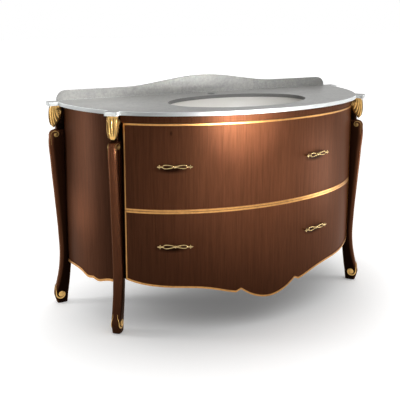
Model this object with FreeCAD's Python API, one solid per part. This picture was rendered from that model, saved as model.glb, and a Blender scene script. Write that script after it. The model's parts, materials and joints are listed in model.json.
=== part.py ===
import FreeCAD, Part
import math
import os

# A bow-fronted vanity unit: two drawers between four scrolled legs, a marble top with an oval basin
# below it and a shaped marble upstand. Millimetres, +Z up, the front faces -Y, the origin lies on the
# floor under the middle of the plan.

# Marble top
TOP_HEIGHT = 880.0
SLAB_THICKNESS = 15.0
UNIT_DEPTH = 625.0
OVERHANG = 23.0
ARRIS = 1.5
EAR_REACH = 62.0
EAR_HALF = 27.0
EAR_ROUND = 8.0
BACK_HALF = 690.0
TAP_HOLE_R = 17.5
TAP_SETBACK = 91.0

# Upstand on the top's back edge
UPSTAND_THICKNESS = 20.0
UPSTAND_HEIGHT = 41.0
UPSTAND_PEAK = 80.0
UPSTAND_SWELL_HALF = 400.0
UPSTAND_CROWN_HALF = 70.0

# Basin and waste
BASIN_HALF_LENGTH = 315.0
BASIN_FRONT_MARGIN = 89.0
BASIN_BACK_MARGIN = 146.0
BASIN_DEPTH = 140.0
BASIN_WALL = 11.0
BASIN_REVEAL = 3.0
BASIN_RIM_WIDTH = 25.0
BASIN_RIM_HEIGHT = 14.0
WASTE_FLOOR_MARGIN = 3.0
WASTE_R = 21.0
WASTE_WALL = 3.0
WASTE_CLEARANCE = 0.8
WASTE_LENGTH = 66.0
WASTE_FLANGE_R = 32.0
WASTE_FLANGE_HEIGHT = 3.0
WASTE_NUT_R = 33.0
WASTE_NUT_HEIGHT = 13.0
PLUG_R = 29.0
PLUG_HEIGHT = 6.0
PLUG_STEM_R = 8.0
PLUG_STEM_LENGTH = 34.0
PLUG_GAP = 0.4
TRAP_PIPE_R = 16.0
TRAP_PIPE_WALL = 1.5
TRAP_BODY_R = 30.0
TRAP_WALL = 3.0
TRAP_BODY_HEIGHT = 80.0
TRAP_CUP_HEIGHT = 32.0
TRAP_INLET_LENGTH = 78.0
TRAP_COLLAR = 16.0
TRAP_SPOUT_REACH = 24.0
TRAP_SPOUT_DROP = 26.0
WALL_ROSE_R = 36.0
WALL_ROSE_HEIGHT = 4.0

# Bowed front
BOW_HALF = 540.5
BOW_DEPTH = 186.6
BOW_ROUND = 0.2
FRONT_THICKNESS = 20.0
FRIEZE_HEIGHT = 30.0
DRAWER_HALF = 543.0
DRAWER_SPLIT = 493.5
DRAWER_GAP = 2.0
BEAD_WIDTH = 7.0
BEAD_END_WIDTH = 3.5
BEAD_PROUD = 2.5
LEG_CLEARANCE = 1.5
FRONT_CLEARANCE = 3.0

# Lower edge of the front, half of it: distance from the middle and height above the floor
LOBE_EDGE = [(0.0, 109.5), (24.0, 111.5), (52.0, 118.5), (90.0, 135.0), (112.0, 149.0), (127.5, 160.0)]
TICK_EDGE = (149.0, 150.0)
SWEEP_EDGE = [(149.0, 150.0), (185.0, 158.5), (230.0, 171.0), (290.0, 182.5), (370.0, 188.0)]
# The end of that edge: distance in from the drawer's end and height
SHOULDER_EDGE = [(77.0, 194.0), (29.0, 202.5), (0.0, 212.0)]

# Carcass
PANEL = 18.0
SIDE_BULGE = 28.0
SIDE_POINT_Y = 44.0
SIDE_BEAD_WIDTH = 10.0
# Lower edge of a side, half of it: distance from its point and height above the floor
SIDE_EDGE = [(0.0, 179.0), (12.0, 176.0), (26.0, 173.5), (41.0, 176.0), (62.0, 184.0), (90.0, 190.0)]
PARTITION_X = 458.0
PARTITION_THICKNESS = 16.0
BOTTOM_Z = 205.0
BOTTOM_THICKNESS = 16.0
BACK_INSET = 40.5
BACK_THICKNESS = 10.0
SERVICE_HALF = 200.0
SERVICE_DROP = 105.0
SERVICE_HEIGHT = 220.0
WALL_SCREW_HALF = 400.0
WALL_SCREW_R = 4.0
WALL_SCREW_DROP = 65.0
BRACKET_LEG = 30.0
BRACKET_THICKNESS = 2.0
BRACKET_SPAN = 40.0

# Legs: each stands on a line that points outward from a corner of the body
LEG_FRONT_X = 561.0
LEG_FRONT_SET = 5.3
LEG_FRONT_TURN = 40.0
LEG_REAR_X = 677.0
LEG_REAR_INSET = 43.0
LEG_THICKNESS = 42.0
FOOT_THICKNESS = 36.0
LEG_EDGE_ROUND = 8.0
GLIDE_HEIGHT = 3.0
GLIDE_R = 12.0
# Foot sections: height above the floor, inner and outer distance along the outward line
FOOT_SECTIONS = [
    (GLIDE_HEIGHT, 8.0, 52.0), (24.0, 5.0, 58.5), (43.0, 3.0, 62.0), (58.0, 0.5, 59.5),
    (90.0, -4.0, 50.5), (122.0, -8.0, 43.0), (160.0, -12.0, 36.5), (204.0, -15.0, 32.5),
]
# Shank sections: share of the way from the foot's top to the shoulder, inner and outer distance
SHANK_SECTIONS = [(0.22, -20.0, 35.0), (0.49, -24.0, 44.5), (0.8, -26.0, 56.0)]
# Shoulder sections: drop below the cap, inner and outer distance
SHOULDER_SECTIONS = [(38.0, -26.0, 60.0), (16.0, -26.0, 57.0), (7.0, -26.0, 49.0), (3.0, -26.0, 36.0)]
CAP_SPACE = 98.0
POST_OUT = 6.0
# Cap sections: drop below the marble, inner and outer distance and width
CAP_SECTIONS = [
    (0.0, POST_OUT, 47.0, 43.0), (16.0, POST_OUT, 53.0, 46.0), (32.0, POST_OUT, 54.5, 46.0),
    (46.0, 7.5, 54.0, 45.5), (60.0, 14.0, 52.5, 44.5), (74.0, 24.0, 50.0, 42.0), (85.0, 33.0, 47.0, 36.0),
    (92.0, 38.5, 44.0, 22.0),
]
CAP_EDGE_ROUND = 8.0

# Drawer boxes and runners
BOX_SIDE = 12.0
BOX_FLOOR = 8.0
BOX_BACK_GAP = 22.0
UPPER_BOX_RISE = 26.0
UPPER_BOX_CLEARANCE = 73.5
LOWER_BOX_Z = 240.0
LOWER_BOX_CLEARANCE = 73.5
WELL_HALF = 95.0
WELL_REACH = 75.0
WELL_WALL = 10.0
RUNNER_GAP = 13.0
RUNNER_HEIGHT = 40.0
RUNNER_SHEET = 2.0
RUNNER_DEPTH = 9.0
RUNNER_SLACK = 0.4
RUNNER_SETBACK = 20.0
RUNNER_RISE = 50.0

# Pulls: two open loops knotted in the middle between two posts
PULL_LEFT_X = -380.0
PULL_RIGHT_X = 224.0
PULL_UPPER_RISE = 180.5
PULL_LOWER_DROP = 131.5
PULL_HALF = 58.0
PULL_STAND = 20.0
PULL_LOOP_START = 3.0
PULL_LOOP_END = 46.0
PULL_LOOP_RISE = 6.0
PULL_WIRE = 4.0
PULL_KNOT_R = 6.0
PULL_KNOT_DEPTH = 9.0
PULL_BAR_R = 3.2
PULL_CROSS_HALF = 8.0
PULL_CROSS_R = 2.2
PULL_TIP = 4.5
PULL_POST_R = 4.0
PULL_ROSE_R = 8.0
PULL_ROSE_HEIGHT = 2.5
SCREW_R = 2.0
SCREW_HOLE_R = 2.3
SCREW_HEAD_R = 4.5
SCREW_HEAD_HEIGHT = 3.0
SCREW_POCKET = 1.0

# Places that follow from the sizes above
SLAB_UNDER = TOP_HEIGHT - SLAB_THICKNESS
BACK_Y = UNIT_DEPTH / 2
FRONT_Y = OVERHANG - UNIT_DEPTH / 2
TAP_Y = BACK_Y - TAP_SETBACK
BASIN_Y = (BASIN_FRONT_MARGIN - BASIN_BACK_MARGIN) / 2
BASIN_HALF_WIDTH = (UNIT_DEPTH - BASIN_FRONT_MARGIN - BASIN_BACK_MARGIN) / 2
BASIN_SQUEEZE = BASIN_HALF_WIDTH / BASIN_HALF_LENGTH
BASIN_FLOOR_R = (max(WASTE_FLANGE_R, WASTE_NUT_R) + WASTE_FLOOR_MARGIN) / BASIN_SQUEEZE
BASIN_UNDER = SLAB_UNDER - BASIN_DEPTH - BASIN_WALL
SERVICE_Z = SLAB_UNDER - SERVICE_DROP - SERVICE_HEIGHT
FRIEZE_Z = SLAB_UNDER - FRIEZE_HEIGHT
UPPER_TOP = FRIEZE_Z - DRAWER_GAP
UPPER_BOTTOM = DRAWER_SPLIT + DRAWER_GAP / 2
LOWER_TOP = DRAWER_SPLIT - DRAWER_GAP / 2
BACK_PANEL_Y = BACK_Y - BACK_INSET
BOX_HALF = PARTITION_X - RUNNER_GAP
BOX_BACK_Y = BACK_PANEL_Y - BACK_THICKNESS - BOX_BACK_GAP
UPPER_BOX_Z = UPPER_BOTTOM + UPPER_BOX_RISE
UPPER_BOX_HEIGHT = BASIN_UNDER - UPPER_BOX_CLEARANCE - UPPER_BOX_Z
LOWER_BOX_HEIGHT = DRAWER_SPLIT - LOWER_BOX_CLEARANCE - LOWER_BOX_Z
PULL_UPPER_Z = DRAWER_SPLIT + PULL_UPPER_RISE
PULL_LOWER_Z = DRAWER_SPLIT - PULL_LOWER_DROP
CAP_FOOT = SLAB_UNDER - CAP_SPACE
FAR = 2000.0


def vec(x, y, z=0.0):
    return FreeCAD.Vector(x, y, z)


def block(x0, x1, y0, y1, z0, z1):
    return Part.makeBox(x1 - x0, y1 - y0, z1 - z0, vec(x0, y0, z0))


def rod(radius, start, end):
    """Round bar from one point to another."""
    run = end.sub(start)
    return Part.makeCylinder(radius, run.Length, start, run)


def tube(outer, inner, start, end):
    return rod(outer, start, end).cut(rod(inner, start, end))


def spline(points):
    curve = Part.BSplineCurve()
    curve.interpolate(points)
    return curve.toShape()


def prism(edges, direction):
    return Part.Face(Part.Wire(Part.__sortEdges__(edges))).extrude(direction)


def polyline(points):
    return [Part.LineSegment(a, b).toShape() for a, b in zip(points, points[1:])]


def whole(shape):
    """One clean solid, with faces that continue each other joined."""
    clean = shape.removeSplitter()
    return clean.Solids[0] if len(clean.Solids) == 1 else clean


def bow_y(x):
    """Depth of the bowed front: a square and a sixth power of the distance from the middle."""
    share = abs(x) / BOW_HALF
    return FRONT_Y + BOW_DEPTH * ((1 - BOW_ROUND) * share ** 2 + BOW_ROUND * share ** 6)


def bow_slope(x):
    share = abs(x) / BOW_HALF
    rise = BOW_DEPTH / BOW_HALF * (2 * (1 - BOW_ROUND) * share + 6 * BOW_ROUND * share ** 5)
    return math.copysign(rise, x)


def bow_point(x, out, z=0.0):
    """Point of the front at x, moved outward along the front's normal."""
    slope = bow_slope(x)
    length = math.hypot(1, slope)
    return vec(x + out * slope / length, bow_y(x) - out / length, z)


def bow_curve(half, out, z=0.0):
    steps = 18
    return spline([bow_point(half * (2 * i / steps - 1), out, z) for i in range(steps + 1)])


def bow_layer(half, outer, inner, z0, z1):
    """Curved board between two offsets of the front."""
    front = bow_curve(half, outer, z0)
    back = bow_curve(half, inner, z0)
    tips = [(bow_point(x, outer, z0), bow_point(x, inner, z0)) for x in (-half, half)]
    ends = [Part.LineSegment(a, b).toShape() for a, b in tips]
    return prism([front, back] + ends, vec(0, 0, z1 - z0))


class Corner:
    """Place and outward direction of a leg; side is -1 on the left and 1 on the right."""

    def __init__(self, side, x, y, turn):
        self.side = side
        self.base = vec(side * x, y)
        self.out = vec(side * math.sin(math.radians(turn)), -math.cos(math.radians(turn)))
        self.angle = math.degrees(math.atan2(self.out.y, self.out.x))

    def place(self, shape):
        turned = shape.copy()
        turned.rotate(vec(0, 0), vec(0, 0, 1), self.angle)
        turned.translate(self.base)
        return turned


def rounded_section(inner, outer, width, radius, z):
    """Level rounded rectangle: inner to outer along X, width along Y."""
    half = width / 2
    r = min(radius, 0.45 * width, 0.45 * (outer - inner))
    k = r * (1 - math.sqrt(0.5))
    edges = []
    spots = [(inner, -half), (outer, -half), (outer, half), (inner, half)]
    inward = [(1, 1), (-1, 1), (-1, -1), (1, -1)]
    for (x, y), (dx, dy) in zip(spots, inward):
        along = vec(x + dx * r, y, z)
        across = vec(x, y + dy * r, z)
        first, last = (across, along) if dx == dy else (along, across)
        edges.append((first, Part.Arc(first, vec(x + dx * k, y + dy * k, z), last).toShape(), last))
    loop = []
    for i, (first, arc, last) in enumerate(edges):
        loop.append(arc)
        loop.append(Part.LineSegment(last, edges[(i + 1) % 4][0]).toShape())
    return Part.Wire(loop)


def leg_outline():
    """Heights, reaches and widths of the leg's level sections, from the glide to the shoulder."""
    foot_top = FOOT_SECTIONS[-1][0]
    shoulder = CAP_FOOT - SHOULDER_SECTIONS[0][0]
    swell = (LEG_THICKNESS - FOOT_THICKNESS) / foot_top
    rows = [(z, a, b, FOOT_THICKNESS + swell * z) for z, a, b in FOOT_SECTIONS]
    rows += [(foot_top + s * (shoulder - foot_top), a, b, LEG_THICKNESS) for s, a, b in SHANK_SECTIONS]
    rows += [(CAP_FOOT - drop, a, b, LEG_THICKNESS) for drop, a, b in SHOULDER_SECTIONS]
    return rows


def make_leg():
    rows = leg_outline()
    shank = Part.makeLoft([rounded_section(a, b, w, LEG_EDGE_ROUND, z) for z, a, b, w in rows], True, False)
    top, inner = rows[-1][0], rows[-1][1]
    post = prism(rounded_section(inner, POST_OUT, LEG_THICKNESS, LEG_EDGE_ROUND / 2, top).Edges,
                 vec(0, 0, SLAB_UNDER - top))
    return shank.fuse(post)


def make_cap():
    """Carved bracket between the shoulder and the marble, flat at the back where it meets the leg's post."""
    sections = [rounded_section(a, b, w, CAP_EDGE_ROUND, SLAB_UNDER - drop) for drop, a, b, w in CAP_SECTIONS]
    behind = block(-LEG_THICKNESS, POST_OUT, -LEG_THICKNESS, LEG_THICKNESS, CAP_FOOT, SLAB_UNDER)
    return Part.makeLoft(sections, True, False).cut(behind)


def leg_envelope():
    """Straight box round a leg that the drawer fronts stay out of."""
    half = LEG_THICKNESS / 2 + LEG_CLEARANCE
    return block(-2 * LEG_THICKNESS, 2 * EAR_REACH, -half, half, 0, TOP_HEIGHT)


def side_arc(side, out, z=0.0):
    """Bulged line of a side of the body, from the front leg's middle to the rear leg's middle."""
    a, b = FRONT_CORNERS[side].base, REAR_CORNERS[side].base
    run = b.sub(a)
    normal = vec(side * run.y, -side * run.x).normalize()
    middle = a.add(b).multiply(0.5).add(vec(normal.x, normal.y).multiply(SIDE_BULGE))
    circle = Part.Arc(a, middle, b).toShape().Curve
    radius = circle.Radius + out
    def moved(point):
        ray = point.sub(circle.Center).normalize().multiply(radius)
        return circle.Center.add(ray).add(vec(0, 0, z))
    return moved(a), Part.Arc(moved(a), moved(middle), moved(b)).toShape(), moved(b)


def side_layer(side, outer, inner, z0, z1):
    a0, first, b0 = side_arc(side, outer, z0)
    a1, second, b1 = side_arc(side, inner, z0)
    ends = [Part.LineSegment(a0, a1).toShape(), Part.LineSegment(b0, b1).toShape()]
    return prism([first, second] + ends, vec(0, 0, z1 - z0))


def side_edge(rise):
    """Lower edge of a side panel seen from the side: a lobe and a sweep each way from a small point."""
    halves = []
    for way, corners in ((-1, FRONT_CORNERS), (1, REAR_CORNERS)):
        run, z = SIDE_EDGE[-1]
        end = abs(corners[1].base.y - SIDE_POINT_Y)
        rows = SIDE_EDGE + [((run + end) / 2, z), (end, z)]
        halves.append([vec(0, SIDE_POINT_Y + way * run, z + rise) for run, z in rows])
    return [spline(points) for points in halves], halves[0][-1], halves[1][-1]


def side_band(side, foot, head):
    """Slice of space above a side's lower edge; head is a height, or None for a band as wide as the bead."""
    edges, a, b = side_edge(foot)
    if head is None:
        upper, c, d = side_edge(foot + SIDE_BEAD_WIDTH)
        edges = edges + upper + polyline([a, c]) + polyline([b, d])
    else:
        edges = edges + polyline([a, vec(0, a.y, head), vec(0, b.y, head), b])
    return prism(edges, vec(side * FAR, 0, 0))


def front_half(inset):
    """Half width of a drawer front drawn in by an inset, less at its ends, where the face turns away."""
    return DRAWER_HALF - inset * BEAD_END_WIDTH / BEAD_WIDTH


def apron_edges(inset):
    """Lower edge of the front across its whole width: sweeps, ticks and the middle lobe."""
    edges = []
    end = front_half(inset)
    for side in (-1, 1):
        sweep = SWEEP_EDGE + [(end - run, z) for run, z in SHOULDER_EDGE]
        edges.append(spline([vec(side * x, 0, z + inset) for x, z in sweep]))
        edges += polyline([vec(side * x, 0, z + inset) for x, z in (TICK_EDGE, LOBE_EDGE[-1])])
    lobe = [(-x, z) for x, z in LOBE_EDGE[:0:-1]] + LOBE_EDGE
    edges.append(spline([vec(x, 0, z + inset) for x, z in lobe]))
    return edges


def lower_outline(inset=0.0):
    """Face of the lower drawer's front in the XZ plane, drawn in by an inset."""
    foot, head = SHOULDER_EDGE[-1][1] + inset, LOWER_TOP - inset
    half = front_half(inset)
    rim = [vec(s * half, 0, z) for s, z in ((-1, foot), (-1, head), (1, head), (1, foot))]
    return Part.Face(Part.Wire(Part.__sortEdges__(apron_edges(inset) + polyline(rim))))


def upper_outline(inset=0.0):
    """Face of the upper drawer's front in the XZ plane, drawn in by an inset."""
    foot, head = UPPER_BOTTOM + inset, UPPER_TOP - inset
    half = front_half(inset)
    corners = [(-1, foot), (-1, head), (1, head), (1, foot), (-1, foot)]
    return Part.Face(Part.Wire(polyline([vec(s * half, 0, z) for s, z in corners])))


def through(face):
    """Space in front of the body's middle that a face in the XZ plane sweeps."""
    return face.extrude(vec(0, -FAR, 0))


def drawer_front(outline, low):
    """Bowed board cut to its outline, clear of the legs."""
    board = bow_layer(LEG_FRONT_X, 0, -FRONT_THICKNESS, low, FRIEZE_Z)
    board = board.common(through(outline()))
    for corner in FRONT_CORNERS.values():
        board = board.cut(corner.place(leg_envelope()))
    return board


def drawer_bead(outline, low):
    """Raised gilt strip along the whole rim of a drawer front."""
    strip = bow_layer(LEG_FRONT_X, BEAD_PROUD, 0, low, FRIEZE_Z)
    strip = strip.common(through(outline())).cut(through(outline(BEAD_WIDTH)))
    for corner in FRONT_CORNERS.values():
        strip = strip.cut(corner.place(leg_envelope()))
    return strip


def inside_front(shape):
    """What of a drawer's box lies behind its front board."""
    return shape.cut(bow_layer(LEG_FRONT_X, FAR / 4, -FRONT_THICKNESS, 0, TOP_HEIGHT))


def behind_front(shape):
    """What of a fixed board lies behind the drawer fronts, with running room."""
    return shape.cut(bow_layer(LEG_FRONT_X, FAR / 4, -FRONT_THICKNESS - FRONT_CLEARANCE, 0, SLAB_UNDER))


def box_side(side, z0, height):
    outer, inner = side * BOX_HALF, side * (BOX_HALF - BOX_SIDE)
    return inside_front(block(min(outer, inner), max(outer, inner), FRONT_Y, BOX_BACK_Y, z0, z0 + height))


def box_back(z0, height):
    half = BOX_HALF - BOX_SIDE
    return block(-half, half, BOX_BACK_Y - BOX_SIDE, BOX_BACK_Y, z0, z0 + height)


def box_floor(z0):
    half = BOX_HALF - BOX_SIDE
    return inside_front(block(-half, half, FRONT_Y, BOX_BACK_Y - BOX_SIDE, z0, z0 + BOX_FLOOR))


def well_front_y():
    return BASIN_Y - WELL_REACH


def well_space(z0, height, grow=0.0):
    """Recess in the upper drawer that the trap stands in, open to the back."""
    half = WELL_HALF + grow
    return block(-half, half, well_front_y() - grow, BOX_BACK_Y, z0, z0 + height)


def well_liner(z0, height):
    return well_space(z0, height, WELL_WALL).cut(well_space(z0, height))


def runner_z(box_z):
    return box_z + RUNNER_RISE


def runner_front():
    """Where the runners start, a set distance behind the drawer fronts."""
    lean = math.hypot(1, bow_slope(PARTITION_X))
    return bow_y(PARTITION_X) + FRONT_THICKNESS * lean + RUNNER_SETBACK


def fixed_rail(side, z):
    """Channel on a partition: a web and two flanges that open towards the drawer."""
    web_x, lip_x = PARTITION_X, PARTITION_X - RUNNER_DEPTH
    y0, y1 = runner_front(), BOX_BACK_Y
    outer = block(lip_x, web_x, y0, y1, z - RUNNER_HEIGHT / 2, z + RUNNER_HEIGHT / 2)
    room = RUNNER_HEIGHT / 2 - RUNNER_SHEET
    rail = outer.cut(block(lip_x, web_x - RUNNER_SHEET, y0, y1, z - room, z + room))
    return rail if side > 0 else rail.mirror(vec(0, 0), vec(1, 0, 0))


def drawer_rail(side, z):
    """Smaller channel on a drawer's side that runs inside the fixed one."""
    y0, y1 = runner_front(), BOX_BACK_Y
    half = RUNNER_HEIGHT / 2 - RUNNER_SHEET - RUNNER_SLACK
    reach = PARTITION_X - RUNNER_SHEET - RUNNER_SLACK
    outer = block(BOX_HALF, reach, y0, y1, z - half, z + half)
    room = half - RUNNER_SHEET
    rail = outer.cut(block(BOX_HALF + RUNNER_SHEET, reach, y0, y1, z - room, z + room))
    return rail if side > 0 else rail.mirror(vec(0, 0), vec(1, 0, 0))


def pull_place(shape, x, z):
    """From the pull's own frame, X along the front and -Y outward, to its place on the front."""
    placed = shape.copy()
    placed.rotate(vec(0, 0), vec(0, 0, 1), math.degrees(math.atan(bow_slope(x))))
    placed.translate(bow_point(x, 0, z))
    return placed


def lens(side, grow):
    """Flat lens between the knot and the end bar, widened by grow, as thick as the loop's bar."""
    near = vec(side * (PULL_LOOP_START - grow), -PULL_STAND - PULL_WIRE / 2)
    far = vec(side * (PULL_LOOP_END + grow), -PULL_STAND - PULL_WIRE / 2)
    middle = near.add(far).multiply(0.5)
    rise = PULL_LOOP_RISE + grow
    arcs = [Part.Arc(near, middle.add(vec(0, 0, up)), far).toShape() for up in (-rise, rise)]
    return prism(arcs, vec(0, PULL_WIRE, 0))


def surface_drop(x, run):
    """How far the bowed face falls behind its tangent, a run along from x."""
    here, there = bow_point(x, 0), bow_point(x + run * math.cos(math.atan(bow_slope(x))), 0)
    angle = math.atan(bow_slope(x))
    gap = there.sub(here)
    return -gap.x * math.sin(angle) + gap.y * math.cos(angle)


def make_pull(x):
    """Two lens-shaped loops, a knot, end bars with cross pieces and tips, and posts to the bowed face."""
    front_y = -PULL_STAND - PULL_KNOT_DEPTH / 2
    pieces = [rod(PULL_KNOT_R, vec(0, front_y), vec(0, front_y + PULL_KNOT_DEPTH))]
    for side in (-1, 1):
        pieces.append(lens(side, PULL_WIRE / 2).cut(lens(side, -PULL_WIRE / 2)))
        end = vec(side * PULL_HALF, -PULL_STAND)
        tip = vec(side * (PULL_HALF + PULL_TIP), -PULL_STAND)
        pieces.append(rod(PULL_BAR_R, vec(side * PULL_LOOP_END, -PULL_STAND), tip))
        pieces.append(Part.makeCone(PULL_BAR_R, PULL_BAR_R / 4, PULL_TIP, tip, vec(side, 0)))
        cross_rise = vec(0, 0, PULL_CROSS_HALF)
        pieces.append(rod(PULL_CROSS_R, end.sub(cross_rise), end.add(cross_rise)))
        foot = vec(end.x, surface_drop(x, end.x))
        pieces.append(rod(PULL_POST_R, foot, vec(end.x, front_y)))
        pieces.append(rod(PULL_ROSE_R, foot, vec(foot.x, foot.y - PULL_ROSE_HEIGHT)))
    pull = pieces[0].multiFuse(pieces[1:])
    pull = pull_place(pull, x, 0).cut(bow_layer(LEG_FRONT_X, 0, -FRONT_THICKNESS, -PULL_STAND, PULL_STAND))
    return whole(pull)


def pull_screws(x, radius, head):
    """Screw shanks through the front board, with their heads on its back when head is set."""
    screws = []
    for side in (-1, 1):
        run = side * PULL_HALF
        face = surface_drop(x, run)
        lean = math.hypot(1, bow_slope(x))
        back = face + FRONT_THICKNESS * lean
        if head:
            shank = rod(radius, vec(run, face), vec(run, back))
            cap = rod(SCREW_HEAD_R, vec(run, back), vec(run, back + SCREW_HEAD_HEIGHT))
            screws.append(shank.fuse(cap))
        else:
            screws.append(rod(radius, vec(run, face - PULL_STAND), vec(run, back + PULL_STAND)))
    return [pull_place(screw, x, 0) for screw in screws]


def raised(shape, z):
    moved = shape.copy()
    moved.translate(vec(0, 0, z))
    return moved


def make_slab():
    bow = [bow_point(s * LEG_FRONT_X, OVERHANG, SLAB_UNDER) for s in (-1, 1)]
    edges = [bow_curve(LEG_FRONT_X, OVERHANG, SLAB_UNDER)]
    backs = []
    for side, start in zip((-1, 1), bow):
        a, arc, b = side_arc(side, OVERHANG, SLAB_UNDER)
        back = vec(side * BACK_HALF, BACK_Y, SLAB_UNDER)
        edges += [Part.LineSegment(start, a).toShape(), arc, Part.LineSegment(b, back).toShape()]
        backs.append(back)
    edges.append(Part.LineSegment(*backs).toShape())
    slab = prism(edges, vec(0, 0, SLAB_THICKNESS))
    ear = rounded_section(-2 * EAR_HALF, EAR_REACH, 2 * EAR_HALF, EAR_ROUND, SLAB_UNDER)
    ear = Part.Face(ear).extrude(vec(0, 0, SLAB_THICKNESS))
    slab = whole(slab.multiFuse([corner.place(ear) for corner in CORNERS]))
    rim = [e for e in slab.Edges if all(abs(v.Z - TOP_HEIGHT) < 1e-6 for v in e.Vertexes)]
    slab = slab.makeChamfer(ARRIS, rim)
    oval = Part.Ellipse(vec(0, BASIN_Y, 0), BASIN_HALF_LENGTH, BASIN_HALF_WIDTH).toShape()
    slab = slab.cut(Part.Face(Part.Wire(oval)).extrude(vec(0, 0, 2 * TOP_HEIGHT)))
    return slab.cut(rod(TAP_HOLE_R, vec(0, TAP_Y), vec(0, TAP_Y, 2 * TOP_HEIGHT)))


def make_upstand():
    """Marble board with quarter-round ends, level shoulders and a swelled crown."""
    end, level, peak = BACK_HALF, TOP_HEIGHT + UPSTAND_HEIGHT, TOP_HEIGHT + UPSTAND_PEAK
    y = BACK_Y - UPSTAND_THICKNESS
    edges = [Part.LineSegment(vec(-end, y, TOP_HEIGHT), vec(end, y, TOP_HEIGHT)).toShape()]
    swell, crown = UPSTAND_SWELL_HALF, UPSTAND_CROWN_HALF
    rise = peak - level
    for side in (-1, 1):
        r = UPSTAND_HEIGHT
        knee = vec(side * (end - r), y, level)
        bend = vec(side * (end - r + r * math.sqrt(0.5)), y, TOP_HEIGHT + r * math.sqrt(0.5))
        edges.append(Part.Arc(vec(side * end, y, TOP_HEIGHT), bend, knee).toShape())
        edges.append(Part.LineSegment(knee, vec(side * swell, y, level)).toShape())
    run = (swell - crown) / 4
    half = [(crown + 4 * run, 0.0), (crown + 3 * run, 0.1), (crown + 2 * run, 0.37), (crown + run, 0.68),
            (crown, 0.93), (crown / 2, 0.99)]
    sweep = [vec(-x, y, level + rise * s) for x, s in half]
    sweep += [vec(0, y, peak)]
    sweep += [vec(x, y, level + rise * s) for x, s in reversed(half)]
    edges.append(spline(sweep))
    board = prism(edges, vec(0, UPSTAND_THICKNESS, 0))
    return board


def make_basin():
    """Oval bowl: a turned profile drawn in along Y, with a rim under the marble and a drain hole."""
    top, floor = SLAB_UNDER, SLAB_UNDER - BASIN_DEPTH
    r = BASIN_HALF_LENGTH + BASIN_REVEAL
    w = BASIN_WALL
    inner = [(r, 0.0), (0.955 * r, 0.36), (0.81 * r, 0.72), (0.55 * r, 0.93), (0.3 * r, 0.99)]
    bowl = [vec(x, 0, top - s * BASIN_DEPTH) for x, s in inner] + [vec(BASIN_FLOOR_R, 0, floor)]
    shell = [vec(r + w, 0, top - BASIN_RIM_HEIGHT)]
    shell += [vec(x + w * (1 - s / 2), 0, top - s * BASIN_DEPTH - w * s) for x, s in inner[1:]]
    shell += [vec(BASIN_FLOOR_R, 0, floor - w)]
    rim = r + BASIN_RIM_WIDTH
    edges = [spline(bowl), spline(shell)]
    edges += polyline([bowl[-1], vec(0, 0, floor), vec(0, 0, floor - w), shell[-1]])
    edges += polyline([shell[0], vec(rim, 0, top - BASIN_RIM_HEIGHT), vec(rim, 0, top), bowl[0]])
    profile = Part.Face(Part.Wire(Part.__sortEdges__(edges)))
    bowl = profile.revolve(vec(0, 0), vec(0, 0, 1), 360)
    squeeze = FreeCAD.Matrix()
    squeeze.A22 = BASIN_SQUEEZE
    bowl = bowl.transformGeometry(squeeze)
    bowl.translate(vec(0, BASIN_Y))
    return bowl.cut(rod(WASTE_R + WASTE_CLEARANCE, vec(0, BASIN_Y, 0), vec(0, BASIN_Y, top)))


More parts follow.
